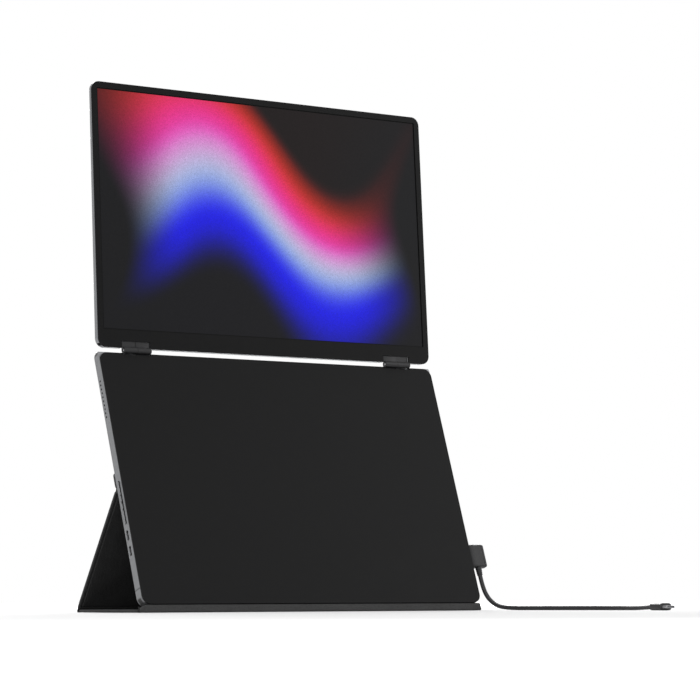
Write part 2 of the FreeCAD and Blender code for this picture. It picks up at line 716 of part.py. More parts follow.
# Speakers behind the sound holes
speaker_y = centred(sound_hole_low + sound_hole_pitch * (SOUND_HOLES - 1) / 2, speaker_length)
for tag, side in SIDES:
    body = box(f"speaker_box_{tag}", mirrored_span(side, inner_half - speaker_width, inner_half - speaker_gap),
               speaker_y, (lower_floor, lower_floor + speaker_depth))
    cone = post(f"speaker_cone_{tag}", speaker_cone, side * (inner_half - speaker_width / 2),
                (speaker_y[0] + speaker_y[1]) / 2,
                (lower_floor + speaker_depth / 2, lower_floor + speaker_depth + speaker_rise))
    finish(f"speaker_{tag}", fuse(f"speaker_whole_{tag}", body, cone), LOWER)

# Steel plate inside the back wall, where the end strip's magnets hold
strip_up = first_fold_up + along + reach
finish("holding_plate", box(
    "holding_plate_sheet", (-half_width + holding_plate_inset, half_width - holding_plate_inset),
    (as_size(strip_up), as_size(strip_up) + holding_plate_height),
    (lower_floor, lower_floor + holding_plate_depth)), LOWER)

# Soft foot under the bottom end, cut level with the surface
foot_block = box("foot_block", (-half_width + foot_inset, half_width - foot_inset), (-foot_drop, as_size(0)),
                 (as_size(0), lower_depth))
foot_block_placed = in_frame("foot_block_placed", foot_block, LOWER)
above_surface = doc.addObject("Part::Box", "above_surface")
bind(above_surface, "Length", width)
bind(above_surface, "Width", 4 * lower_depth)
bind(above_surface, "Height", 2 * foot_drop)
above_surface.Placement.Base = FreeCAD.Vector(-float(half_width), back_corner[0] - 2 * float(lower_depth), 0)
finish("foot_bar", common("foot_bar_cut", foot_block_placed, above_surface))

# Display panel, in its own frame: the hinge axis is y = 0, z = 0
face_z = -hinge_lift
bezel_back = face_z - bezel_depth
panel_low = panel_gap
panel_high = panel_gap + upper_height
screen_low = panel_gap + chin
screen_high = screen_low + screen_height
cover_inner_half = half_width - cover_wall
chin_floor = bezel_back - chin_pocket_depth
cover_low = bezel_back - cover_depth_bottom
cover_high = bezel_back - cover_depth_top
cover = plate("display_cover", (-half_width, half_width), (panel_low, panel_high),
              (cover_low, bezel_back), corner_radius)
side_cut(cover, "back_slope", (
    (panel_low, cover_low),
    (panel_high + overcut, cover_high + overcut * (cover_depth_bottom - cover_depth_top) / upper_height),
    (panel_high + overcut, cover_low - overcut),
    (panel_low, cover_low - overcut),
))
round_back(cover, "display_back_edge", cover_round)
stack_depth = lcd_depth + light_guide_depth + tray_depth
recess(cover, "display_hollow", (-cover_inner_half, cover_inner_half),
       (panel_low + cover_wall, panel_high - cover_wall), bezel_back, stack_depth, corner_radius - cover_wall)
board_room = (panel_low + cover_wall, screen_low - panel_margin)
recess(cover, "chin_hollow", (-cover_inner_half, cover_inner_half), board_room,
       bezel_back, chin_pocket_depth, chin_corner)
upper_leaf_z = (-barrel_radius, -barrel_radius + leaf_depth)
pocket_walls = []
upper_notches = []
for tag, side in SIDES:
    notch_span = mirrored_span(side, hinge_centre - hinge_pocket / 2, hinge_centre + hinge_pocket / 2)
    pocket_walls.append(box(
        f"pocket_wall_{tag}", (notch_span[0] - pocket_wall, notch_span[1] + pocket_wall),
        (panel_low + cover_wall / 2, upper_pocket + pocket_wall), (chin_floor - cover_round / 2, bezel_back)))
    upper_notches.append(hinge_notch(f"upper_notch_{tag}", side, (panel_low - 1, upper_pocket),
                                     (cover_low - 1, face_z + 1)))
    upper_notches.append(box(
        f"leaf_slit_{tag}", (notch_span[0] + hinge_side_gap - leaf_slit, notch_span[1] - hinge_side_gap + leaf_slit),
        (upper_pocket - 1, upper_pocket + pocket_wall + 1),
        (upper_leaf_z[0] - leaf_slit, upper_leaf_z[1] + leaf_slit)))
finish("display_back_cover", cut("display_cover_notched", fuse("display_cover_walled", cover, *pocket_walls),
                                 fuse("upper_notches", *upper_notches)), UPPER)

bezel = plate("bezel_plate", (-half_width, half_width), (panel_low, panel_high),
              (bezel_back, face_z), corner_radius)
recess(bezel, "bezel_window", (-screen_width / 2, screen_width / 2), (screen_low, screen_high),
       face_z, bezel_depth, window_corner)
bezel_notches = fuse("bezel_notches", *[
    hinge_notch(f"bezel_notch_{tag}", side, (panel_low - 1, upper_pocket), (bezel_back - 1, face_z + 1))
    for tag, side in SIDES
])
finish("bezel_frame", cut("bezel_notched", bezel, bezel_notches), UPPER)

stack_x = (-screen_width / 2 - panel_margin, screen_width / 2 + panel_margin)
stack_y = (screen_low - panel_margin, screen_high + panel_margin)
lcd_back = bezel_back - lcd_depth
guide_back = lcd_back - light_guide_depth
finish("lcd_panel", box("lcd_sheet", stack_x, stack_y, (lcd_back, bezel_back)), UPPER)
finish("light_guide", box("light_guide_sheet", stack_x, stack_y, (guide_back, lcd_back)), UPPER)
finish("backlight_tray", box("backlight_sheet", stack_x, stack_y,
                             (guide_back - tray_depth, guide_back)), UPPER)
led_y = (stack_y[0] - led_bar_height, stack_y[0])
led_reach = hinge_centre - hinge_pocket / 2 - led_end_gap
finish("led_bar", box("led_strip", (-led_reach, led_reach), led_y,
                      (guide_back, lcd_back)), UPPER)
driver_y = (board_room[0] + driver_board_gap, board_room[0] + driver_board_gap + driver_board_height)
finish("driver_board", box("driver_sheet", (-driver_board_width / 2, driver_board_width / 2), driver_y,
                           (chin_floor, chin_floor + board_depth)), UPPER)

# Screen hinges: each has a lower and an upper leaf with one barrel each, on one pin
for tag, side in SIDES:
    outer = hinge_centre + hinge_pocket / 2 - hinge_side_gap
    inner = hinge_centre - hinge_pocket / 2 + hinge_side_gap
    middle = hinge_centre
    lower_x = mirrored_span(side, inner, middle - knuckle_gap / 2)
    upper_x = mirrored_span(side, middle + knuckle_gap / 2, outer)
    both_x = mirrored_span(side, inner, outer)
    pin_x = mirrored_span(side, inner + pin_inset, outer - pin_inset)

    leaf_span = (leaf_back, leaf_back + leaf_depth)
    lower_barrel = rod(f"lower_barrel_{tag}", barrel_radius, lower_x, hinge_height, lower_axis_z)
    lower_neck = box(f"lower_neck_{tag}", lower_x, (hinge_height - barrel_pocket - 1, hinge_height), leaf_span)
    lower_sheet = box(f"lower_sheet_{tag}", both_x,
                      (hinge_height - lower_leaf_length, hinge_height - barrel_pocket - leaf_start), leaf_span)
    lower_bore = rod(f"lower_bore_{tag}", pin_radius, lower_x, hinge_height, lower_axis_z)
    finish(f"lower_hinge_leaf_{tag}", cut(
        f"lower_leaf_{tag}", fuse(f"lower_leaf_solid_{tag}", lower_barrel, lower_neck, lower_sheet),
        lower_bore), LOWER)

    upper_barrel = rod(f"upper_barrel_{tag}", barrel_radius, upper_x, as_size(0), as_size(0))
    upper_neck = box(f"upper_neck_{tag}", upper_x, (as_size(0), upper_pocket + 1), upper_leaf_z)
    upper_sheet = box(f"upper_sheet_{tag}", both_x, (upper_pocket + leaf_start, stack_y[0] - upper_leaf_gap),
                      upper_leaf_z)
    upper_bore = rod(f"upper_bore_{tag}", pin_radius + running_gap, upper_x, as_size(0), as_size(0))
    finish(f"upper_hinge_leaf_{tag}", cut(
        f"upper_leaf_{tag}", fuse(f"upper_leaf_solid_{tag}", upper_barrel, upper_neck, upper_sheet),
        upper_bore), UPPER)
    finish(f"hinge_pin_{tag}", rod(f"pin_{tag}", pin_radius, pin_x, hinge_height, lower_axis_z), LOWER)

# Cover panels, each a skin round a stiff board; a round edge lies on the fold
cover_x = (-half_width + side_inset, half_width - side_inset)
board_x = (cover_x[0] + panel_hem, cover_x[1] - panel_hem)
thick = (-half_panel, half_panel)
board_thick = (-panel_board / 2, panel_board / 2)


def cover_panel(node, high, frame):
    """Closed skin with the stiff board inside it."""
    slab = box(f"{node}_slab", cover_x, (as_size(0), high), thick)
    edge = rod(f"{node}_edge", half_panel, cover_x, as_size(0), as_size(0))
    room = box(f"{node}_room", board_x, (panel_hem, high - panel_hem), board_thick)
    finish(f"{node}_skin", cut(f"{node}_hollowed", fuse(f"{node}_solid", slab, edge), room), frame)
    return box(f"{node}_sheet", board_x, (panel_hem, high - panel_hem), board_thick)


finish("base_panel_board", cover_panel("base_panel", base_length - foot_fold_gap, BASE), BASE)
finish("prop_panel_board", cover_panel("prop_panel", prop_length - fold_gap, PROP), PROP)

magnet_y = centred(strip_length / 2, magnet_height)
MAGNETS = 5
strip_slab = box("strip_slab", cover_x, (as_size(0), strip_length), thick)
strip_edge = rod("strip_edge", half_panel, cover_x, as_size(0), as_size(0))
magnet_places = [(number - (MAGNETS - 1) / 2) * magnet_pitch for number in range(MAGNETS)]
magnet_rooms = fuse("magnet_rooms", *[
    box(f"magnet_room_{number}", centred(middle, magnet_width), magnet_y, board_thick)
    for number, middle in enumerate(magnet_places)
])
finish("end_strip_skin", cut("end_strip_hollowed", fuse("strip_solid", strip_slab, strip_edge),
                             magnet_rooms), STRIP)
finish("strip_magnets", group("magnet_set", *[
    box(f"magnet_{number}", centred(middle, magnet_width), magnet_y, board_thick)
    for number, middle in enumerate(magnet_places)
]), STRIP)

# Angled plug in the right port
plug_x = (half_width + plug_gap, half_width + plug_gap + plug_reach)
plug_y = (port_right - plug_below, port_right + plug_above)
plug_middle_x = plug_x[0] + plug_reach / 2


def soft_box(name, x_span, y_span, z_span, radius):
    """Box with every edge rounded."""
    block = box(f"{name}_block", x_span, y_span, z_span)
    doc.recompute()
    rounded = doc.addObject("Part::Fillet", name)
    rounded.Base = block
    rounded.Edges = [(index, float(radius), float(radius)) for index in range(1, 13)]
    return rounded


finish("angled_plug_body", soft_box("angled_plug", plug_x, plug_y,
                                    centred(port_centre, plug_depth), plug_fillet), LOWER)


def plug_shell(name, length_span, across, thin):
    """Open metal shell of a plug, along X."""
    outer = box(f"{name}_outer", length_span, across, thin)
    inner = box(f"{name}_inner", (length_span[0] - 1, length_span[1] - shell_wall),
                (across[0] + shell_wall, across[1] - shell_wall),
                (thin[0] + shell_wall, thin[1] - shell_wall))
    return cut(name, outer, inner)


finish("angled_plug_shell", plug_shell(
    "angled_shell", (plug_x[0] - shell_length, plug_x[0]),
    centred(port_right, shell_width), centred(port_centre, shell_depth)), LOWER)
relief = doc.addObject("Part::Cone", "relief_cone")
bind(relief, "Radius1", relief_radius)
bind(relief, "Radius2", relief_end_radius)
bind(relief, "Height", relief_length)
relief.Placement.Rotation = FreeCAD.Rotation(X_AXIS, 90)
place_by(relief, plug_middle_x, plug_y[0], port_centre)
finish("strain_relief", relief, LOWER)

# The lead leaves along the housing, bends to the surface and lies there.
lead_start = LOWER.multVec(FreeCAD.Vector(float(plug_middle_x), float(plug_y[0] - relief_length),
                                          float(port_centre)))
lead_height = float(cable_radius)
end_height = float(end_plug_depth / 2)
LEAD_STEPS = (
    (0.0, -4.0, -11.3),
    (0.3, -8.0, -10.2),
    (0.6, -12.2, -6.6),
)
LEAD_ON_SURFACE = (
    (1.5, -18.0),
    (3.5, -24.0),
    (6.5, -33.0),
    (6.0, -38.0),
    (0.5, -36.0),
    (-5.0, -33.0),
    (-6.5, -28.0),
)
route = [lead_start]
for step in LEAD_STEPS:
    route.append(route[-1] + FreeCAD.Vector(*step))
for across_step, back_step in LEAD_ON_SURFACE:
    last = route[-1]
    route.append(FreeCAD.Vector(last.x + across_step, last.y + back_step, lead_height))
route[-1].z = end_height


def lead_wire(points):
    """Straight runs joined by tangent arcs, each as large as its two runs allow."""
    share = 0.45
    edges = []
    here = points[0]
    for before, corner, after in zip(points, points[1:], points[2:]):
        arriving = corner - before
        leaving = after - corner
        half_turn = arriving.getAngle(leaving) / 2
        back_off = share * min(arriving.Length, leaving.Length)
        radius = back_off / math.tan(half_turn)
        arriving.normalize()
        leaving.normalize()
        start = corner - arriving * back_off
        end = corner + leaving * back_off
        inward = leaving - arriving
        inward.normalize()
        centre = corner + inward * (radius / math.cos(half_turn))
        towards = corner - centre
        towards.normalize()
        edges.append(Part.LineSegment(here, start).toShape())
        edges.append(Part.Arc(start, centre + towards * radius, end).toShape())
        print(f"lead arc radius {radius:.1f} mm")
        here = end
    edges.append(Part.LineSegment(here, points[-1]).toShape())
    return Part.Wire(edges)


spine = lead_wire(route)
first_run = route[1] - route[0]
ring = Part.Wire([Part.makeCircle(float(cable_radius), route[0], first_run)])
tube = spine.makePipeShell([ring], True, False)
section = math.pi * float(cable_radius) ** 2
print(f"lead length {spine.Length:.1f} mm, volume over section times length "
      f"{tube.Volume / (section * spine.Length):.4f}")
lead = doc.addObject("Part::Feature", "lead")
lead.Shape = tube
finish("usb_lead", lead)

# Straight plug lying on the surface at the lead's far end
last_run = route[-1] - route[-2]
plug_heading = math.degrees(math.atan2(last_run.y, last_run.x))
END_PLUG = FreeCAD.Placement(route[-1], FreeCAD.Rotation(FreeCAD.Vector(0, 0, 1), plug_heading))
end_body = soft_box("end_plug", (as_size(0), end_plug_length),
                    centred(as_size(0), end_plug_width), centred(as_size(0), end_plug_depth), plug_fillet)
finish("end_plug_body", end_body, END_PLUG)
end_shell_outer = box("end_shell_outer", (end_plug_length, end_plug_length + shell_length),
                      centred(as_size(0), shell_width), centred(as_size(0), shell_depth))
end_shell_inner = box("end_shell_inner", (end_plug_length + shell_wall, end_plug_length + shell_length + 1),
                      centred(as_size(0), shell_width - 2 * shell_wall),
                      centred(as_size(0), shell_depth - 2 * shell_wall))
finish("end_plug_shell", cut("end_shell", end_shell_outer, end_shell_inner), END_PLUG)

doc.recompute()
for thing in doc.Objects:
    if "Invalid" in thing.State or "Error" in thing.State:
        raise RuntimeError(f"{thing.Name} ({thing.Label}) failed: {thing.State}")
for piece in finished:
    if piece.Shape.isNull() or not piece.Shape.isValid():
        raise RuntimeError(f"{piece.Label} has no valid shape")
names = [piece.Label for piece in finished]
if len(set(names)) != len(names):
    raise RuntimeError("two pieces share a name")
for piece in finished:
    piece.Shape.exportStep(f"parts/{piece.Label}.step")
    print(piece.Label, len(piece.Shape.Solids), round(piece.Shape.Volume, 1))
print("first fold", [round(v, 3) for v in first_fold], "foot fold", [round(v, 3) for v in foot_fold])
print("upper fold", [round(v, 3) for v in upper_fold], "screen hinge", [round(v, 3) for v in hinge_axis])
print("prop angle", round(prop_angle, 3), "lead start", lead_start)
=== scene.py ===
"""Dresses the stacked screen extender: folding cover, lead, keys, ports, finishes and studio.

Metres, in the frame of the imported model: +X right, +Y back, +Z up.
"""

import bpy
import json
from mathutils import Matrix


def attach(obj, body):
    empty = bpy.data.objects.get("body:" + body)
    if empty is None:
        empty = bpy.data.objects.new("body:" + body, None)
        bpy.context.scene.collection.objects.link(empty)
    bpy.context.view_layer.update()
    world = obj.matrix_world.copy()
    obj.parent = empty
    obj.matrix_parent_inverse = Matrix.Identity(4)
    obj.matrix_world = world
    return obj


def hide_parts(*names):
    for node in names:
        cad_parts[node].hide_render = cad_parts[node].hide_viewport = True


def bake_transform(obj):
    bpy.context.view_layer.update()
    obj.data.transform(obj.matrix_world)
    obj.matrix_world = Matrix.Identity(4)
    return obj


bl_info = {
    "name": "Stacked Screen Extender",
    "version": (1, 0, 0),
    "blender": (4, 5, 0),
    "location": "3D View > Sidebar > Extender",
    "description": "Builds the looks of a stacked screen extender on its packed frame",
    "category": "Object",
}

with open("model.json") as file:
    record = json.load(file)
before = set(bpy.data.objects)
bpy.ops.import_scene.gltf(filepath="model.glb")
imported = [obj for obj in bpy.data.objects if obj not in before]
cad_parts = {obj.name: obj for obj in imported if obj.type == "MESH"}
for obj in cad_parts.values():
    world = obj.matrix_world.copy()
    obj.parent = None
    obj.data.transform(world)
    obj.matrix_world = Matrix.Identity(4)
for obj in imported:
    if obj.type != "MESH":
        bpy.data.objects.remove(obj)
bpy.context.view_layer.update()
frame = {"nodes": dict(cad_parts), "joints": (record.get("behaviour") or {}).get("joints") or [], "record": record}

import json
import math

import bpy
import numpy as np
from bpy.props import FloatProperty, FloatVectorProperty, PointerProperty
from bpy.types import Operator, Panel, PropertyGroup
from mathutils import Euler, Matrix, Vector

MM = 0.001
JOINTS = {joint["name"]: joint for joint in frame["joints"]}
HOUSING = "support_housing"


# ---------------------------------------------------------------- panel frames

def joint_place(name):
    """Y and Z of a joint's axis."""
    return np.array(JOINTS[name]["pos_m"][1:], float)


class PanelFrame:
    """A panel's own directions: across, up the panel, and out of its front face."""

    def __init__(self, origin, angle):
        self.origin = np.asarray(origin, float)
        self.angle = angle
        self.up = np.array([math.cos(angle), math.sin(angle)])
        self.out = np.array([-math.sin(angle), math.cos(angle)])

    def place(self, across, up, out):
        """Points (across, origin + up * up direction + out * out direction)."""
        across, up, out = np.broadcast_arrays(across, up, out)
        y = self.origin[0] + up * self.up[0] + out * self.out[0]
        z = self.origin[1] + up * self.up[1] + out * self.out[1]
        return np.stack([across, y, z], axis=-1)

    def section(self, up, out):
        """The same in the YZ plane alone."""
        return self.place(0.0, up, out)[..., 1:]


housing_angle = math.radians(JOINTS["base_fold"]["range_deg"][1])
display_angle = housing_angle - math.radians(JOINTS["screen_hinge"]["range_deg"][0])
hinge_yz = joint_place("screen_hinge")
foot_yz = joint_place("foot_fold")
upper_yz = joint_place("upper_fold")
along_housing = PanelFrame((0.0, 0.0), housing_angle)
# Hinge axis above the housing's end and in front of its back face
HINGE_UP, HINGE_FRONT = 234.0 * MM, 11.2 * MM
corner_yz = hinge_yz - HINGE_UP * along_housing.up - HINGE_FRONT * along_housing.out
LOWER = PanelFrame(corner_yz, housing_angle)
UPPER = PanelFrame(hinge_yz, display_angle)
BASE = PanelFrame(joint_place("base_fold"), 0.0)
PROP = PanelFrame(foot_yz, math.atan2(*(upper_yz - foot_yz)[::-1]))
STRIP = PanelFrame(upper_yz, housing_angle)

# Places on the side faces of the housing, in millimetres
PORT_OUT = 4.7
KEY_SLOT_LOW = 73.6
KEY_LENGTH = 12.9
KEY_GAP = 0.15
KEY_OUT = (3.45, 5.6)
# Middle of the half-round of painted shade for the notch on the middle key
KEY_NOTCH_SHADE_UP = 93.25
SEAM_UP, SEAM_FADE = 14.6, (0.5, 0.22)
# Opening walls lie between these, counted from the middle of the housing; they get painted shade
WALL_INNER, WALL_OUTER = 175.2, 177.95
# Middle and half width, out from the back face, of the band where the openings' walls get painted shade
OPENING_OUT, OPENING_HALF = 4.5, 2.6
# The lit picture and the glass round it, in millimetres on the display
PICTURE_HALF, PICTURE_LOW, PICTURE_HIGH = 172.35, 18.1, 233.5
GLASS_HALF, GLASS_MIDDLE, GLASS_HALF_UP, GLASS_FACE = 171.5, 125.8, 106.85, -1.45


# ---------------------------------------------------------------- surfaces

def loft(rings):
    """Closed skin through rings of shape (rings, points, 3): quads join each ring to the
    next, and one flat polygon closes each end."""
    count, around = rings.shape[:2]
    ring, item = np.meshgrid(np.arange(count - 1), np.arange(around), indexing="ij")
    after = (item + 1) % around
    quads = np.stack([
        ring * around + item, ring * around + after,
        (ring + 1) * around + after, (ring + 1) * around + item,
    ], axis=-1).reshape(-1, 4)
    ends = [list(range(around))[::-1], list(range((count - 1) * around, count * around))]
    return rings.reshape(-1, 3), quads.tolist() + ends


def rounded_outline(x_span, y_span, radius, inset, turns=7):
    """Rounded rectangle moved inwards: corner arcs of radius minus inset about fixed
    centres; past the radius the corners move in along the diagonal."""
    inset = np.atleast_1d(inset)[:, None]
    left = np.maximum(radius - inset, 0.01 * MM)
    sink = radius + np.maximum(inset - radius, 0.0)
    turn = np.linspace(0.0, math.pi / 2, turns + 1)[None, :]
    corners = (
        (x_span[1] - sink, y_span[0] + sink, -math.pi / 2),
        (x_span[1] - sink, y_span[1] - sink, 0.0),
        (x_span[0] + sink, y_span[1] - sink, math.pi / 2),
        (x_span[0] + sink, y_span[0] + sink, math.pi),
    )
    return np.concatenate([
        np.stack([x + left * np.cos(start + turn), y + left * np.sin(start + turn)], axis=-1)
        for x, y, start in corners
    ], axis=1)


def rounded_polygon(corners, cut_back, samples=6):
    """Closed line whose corners are quadratic curves: each begins and ends cut_back away
    from the corner, on its two sides, with the corner itself as the control point."""
    corners = np.asarray(corners, float)
    before, after = np.roll(corners, 1, axis=0), np.roll(corners, -1, axis=0)
    cut_back = np.broadcast_to(cut_back, len(corners))[:, None]
    start = corners + (before - corners) / np.linalg.norm(before - corners, axis=1)[:, None] * cut_back
    end = corners + (after - corners) / np.linalg.norm(after - corners, axis=1)[:, None] * cut_back
    t = np.linspace(0.0, 1.0, samples)[None, :, None]
    line = (1 - t) ** 2 * start[:, None] + 2 * t * (1 - t) * corners[:, None] + t ** 2 * end[:, None]
    return line.reshape(-1, 2)


def soft_section(half_a, half_b, power, points):
    """Superellipse: |a / half_a| ** power + |b / half_b| ** power = 1."""
    turn = np.linspace(0.0, 2 * math.pi, points, endpoint=False)
    a = np.sign(np.cos(turn)) * np.abs(np.cos(turn)) ** (2 / power)
    b = np.sign(np.sin(turn)) * np.abs(np.sin(turn)) ** (2 / power)
    return half_a * a, half_b * b


def soft_length(length, radius, steps=7, middle=12):
    """Stations along a body and how far each draws in: quarter circles at both ends."""
    turn = np.linspace(0.12, math.pi / 2, steps)
    near = radius * (1 - np.cos(turn))
    inset = radius * (1 - np.sin(turn))
    straight = np.linspace(radius, length - radius, middle + 2)[1:-1]
    stations = np.concatenate([near, straight, length - near[::-1]])
    return stations, np.concatenate([inset, np.zeros(middle), inset[::-1]])


def carried(profile, stations, inset):
    """Closed YZ profile carried along X; at each station it shrinks about its middle so
    that its longest half side loses that station's inset."""
    middle = (profile.max(0) + profile.min(0)) / 2
    half = (profile.max(0) - profile.min(0)) / 2
    scale = 1 - inset[:, None, None] / half[None, None, :]
    line = middle + (profile[None] - middle) * scale
    across = np.broadcast_to(stations[:, None, None], line.shape[:2] + (1,))
    return np.concatenate([across, line], axis=-1)


def boxes(low, high):
    """Many plain boxes in one mesh, from arrays of lower and upper corners."""
    pick = np.array([[0, 0, 0], [1, 0, 0], [1, 1, 0], [0, 1, 0], [0, 0, 1], [1, 0, 1], [1, 1, 1], [0, 1, 1]])
    points = low[:, None] + (high - low)[:, None] * pick[None]
    sides = np.array([[0, 3, 2, 1], [4, 5, 6, 7], [0, 1, 5, 4], [1, 2, 6, 5], [2, 3, 7, 6], [3, 0, 4, 7]])
    faces = (np.arange(len(low)) * 8)[:, None, None] + sides[None]
    return points.reshape(-1, 3), faces.reshape(-1, 4).tolist()


def finish(name):
    """The made material of a slot or of a detail."""
    return bpy.data.materials[f"{name}_finish"]


def add_piece(name, points, faces, material, slot, body=HOUSING, sharp=42.0):
    """Mesh object at the origin with outward faces, its finish and the body it rides on."""
    mesh = bpy.data.meshes.new(name)
    mesh.from_pydata(points.tolist(), [], faces)
    mesh.update()
    mesh.calc_loop_triangles()
    corners = np.empty(len(mesh.loop_triangles) * 3, np.int32)
    mesh.loop_triangles.foreach_get("vertices", corners)
    triangles = points[corners.reshape(-1, 3)] - points.mean(0)
    volume = np.einsum("ij,ij->i", triangles[:, 0], np.cross(triangles[:, 1], triangles[:, 2])).sum()
    if volume < 0:
        mesh.flip_normals()
    mesh.shade_smooth()
    mesh.set_sharp_from_angle(angle=math.radians(sharp))
    piece = bpy.data.objects.new(name, mesh)
    bpy.context.scene.collection.objects.link(piece)
    mesh.materials.append(finish(material))
    if body:
        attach(piece, body)
    return piece


# ---------------------------------------------------------------- shader building

class Nodes:
    """Short way to add and join nodes in one tree."""

    def __init__(self, tree):
        self.tree = tree

    def add(self, kind, values=None, **settings):
        node = self.tree.nodes.new(kind)
        for key, value in settings.items():
            setattr(node, key, value)
        for key, value in (values or {}).items():
            if isinstance(value, bpy.types.NodeSocket):
                self.tree.links.new(value, node.inputs[key])
            else:
                node.inputs[key].default_value = value
        return node

    def math(self, operation, *values, clamp=False):
        node = self.add("ShaderNodeMath", dict(enumerate(values)), operation=operation, use_clamp=clamp)
        return node.outputs[0]

    def blend(self, factor, first, second, mode="MIX"):
        node = self.add("ShaderNodeMix", data_type="RGBA", blend_type=mode)
        for socket, value in zip((node.inputs[0], node.inputs[6], node.inputs[7]), (factor, first, second)):
            if isinstance(value, bpy.types.NodeSocket):
                self.tree.links.new(value, socket)
            else:
                socket.default_value = value
        return node.outputs[2]

    def span(self, value, low, high, to_low=0.0, to_high=1.0, smooth=False):
        node = self.add("ShaderNodeMapRange", {
            "Value": value, "From Min": low, "From Max": high, "To Min": to_low, "To Max": to_high,
        }, interpolation_type="SMOOTHSTEP" if smooth else "LINEAR")
        return node.outputs[0]

    def away(self, value, middle):
        """How far a value is from a middle."""
        return self.math("ABSOLUTE", self.math("SUBTRACT", value, middle))

    def noise(self, place, scale, detail, distortion=0.0):
        """A noise's value at a place."""
        return self.add("ShaderNodeTexNoise", {"Vector": place, "Scale": scale, "Detail": detail,
                                               "Distortion": distortion}).outputs["Fac"]

    def place(self):
        return self.add("ShaderNodeTexCoord").outputs["Object"]


def start_group(name, inputs, outputs):
    """Empty shader group with named float inputs and outputs."""
    tree = bpy.data.node_groups.new(name, "ShaderNodeTree")
    for label, value in inputs.items():
        socket = tree.interface.new_socket(name=label, in_out="INPUT", socket_type="NodeSocketFloat")
        socket.default_value = value
    for label in outputs:
        tree.interface.new_socket(name=label, in_out="OUTPUT", socket_type="NodeSocketFloat")
    nodes = Nodes(tree)
    return nodes, nodes.add("NodeGroupInput").outputs, nodes.add("NodeGroupOutput").inputs


def build_grain_group():
    """Fine moulded or blasted grain: noise at Size for height, a slower noise for tone."""
    nodes, given, out = start_group("fine_grain", {"Size": 0.0004, "Roughness": 0.4, "Spread": 0.06},
                                    ("Height", "Tone", "Roughness"))
    place = nodes.place()
    scale = nodes.math("DIVIDE", 1.0, given["Size"])
    fine = nodes.noise(place, scale, 2.0)
    broad_scale = nodes.math("MULTIPLY", scale, 0.035)
    broad = nodes.noise(place, broad_scale, 3.0)
    tone = nodes.math("ADD", nodes.math("MULTIPLY", fine, 0.55), nodes.math("MULTIPLY", broad, 0.45))
    spread = nodes.math("MULTIPLY", given["Spread"], 2.0)
    shift = nodes.math("MULTIPLY", nodes.math("SUBTRACT", tone, 0.5), spread)
    links = nodes.tree.links
    links.new(fine, out["Height"])
    links.new(nodes.span(tone, 0.3, 0.7), out["Tone"])
    links.new(nodes.math("ADD", given["Roughness"], shift, clamp=True), out["Roughness"])


def build_handling_group():
    """Faint smudges from handling: two slow noises multiplied, so that marks are few."""
    nodes, given, out = start_group("handling", {"Size": 0.06, "Amount": 0.5}, ("Mask",))
    place = nodes.place()
    scale = nodes.math("DIVIDE", 1.0, given["Size"])
    slow = nodes.noise(place, scale, 4.0, 0.6)
    fast = nodes.noise(place, nodes.math("MULTIPLY", scale, 5.3), 5.0)
    marks = nodes.math("MULTIPLY", nodes.span(slow, 0.48, 0.72), nodes.span(fast, 0.35, 0.65))
    nodes.tree.links.new(nodes.math("MULTIPLY", marks, given["Amount"], clamp=True), out["Mask"])


def build_pebble_group():
    """Pebbled hide: cell distance gives rounded pebbles, a finer noise roughens their tops."""
    nodes, given, out = start_group("pebbled_hide", {"Size": 0.0009, "Crease": 0.5},
                                    ("Height", "Crease", "Tone"))
    place = nodes.place()
    scale = nodes.math("DIVIDE", 1.0, given["Size"])
    warp = nodes.add("ShaderNodeTexNoise", {"Vector": place, "Scale": nodes.math("MULTIPLY", scale, 0.6)})
    nudge = nodes.add("ShaderNodeVectorMath", operation="SCALE")
    nodes.tree.links.new(warp.outputs["Color"], nudge.inputs[0])
    nodes.tree.links.new(nodes.math("MULTIPLY", given["Size"], 0.9), nudge.inputs["Scale"])
    moved = nodes.add("ShaderNodeVectorMath", {0: place, 1: nudge.outputs[0]}, operation="ADD")
    cells = nodes.add("ShaderNodeTexVoronoi", {"Vector": moved.outputs[0], "Scale": scale, "Smoothness": 0.35},
                      feature="SMOOTH_F1").outputs["Distance"]
    fine = nodes.noise(place, nodes.math("MULTIPLY", scale, 4.0), 3.0)
    broad = nodes.noise(place, nodes.math("MULTIPLY", scale, 0.04), 4.0)
    dome = nodes.span(cells, 0.75, 0.1, smooth=True)
    crease = nodes.math("MULTIPLY", nodes.span(dome, 0.35, 0.0), given["Crease"], clamp=True)
    links = nodes.tree.links
    links.new(nodes.math("ADD", dome, nodes.math("MULTIPLY", fine, 0.25)), out["Height"])
    links.new(crease, out["Crease"])
    links.new(nodes.span(broad, 0.3, 0.7), out["Tone"])


def start_material(name):
    """Material with only a Principled shader on its output."""
    material = bpy.data.materials.new(f"{name}_finish")
    material.use_nodes = True
    nodes = Nodes(material.node_tree)
    shader = material.node_tree.nodes["Principled BSDF"]
    return nodes, shader


def use_group(nodes, name, **values):
    node = nodes.add("ShaderNodeGroup", node_tree=bpy.data.node_groups[name])
    for label, value in values.items():
        node.inputs[label].default_value = value
    return node.outputs


def set_shader(nodes, shader, constants, links):
    for label, value in constants.items():
        shader.inputs[label].default_value = value
    for label, socket in links.items():
        nodes.tree.links.new(socket, shader.inputs[label])


def opaque(colour, factor=1.0):
    return tuple(min(1.0, channel * factor) for channel in colour[:3]) + (1.0,)


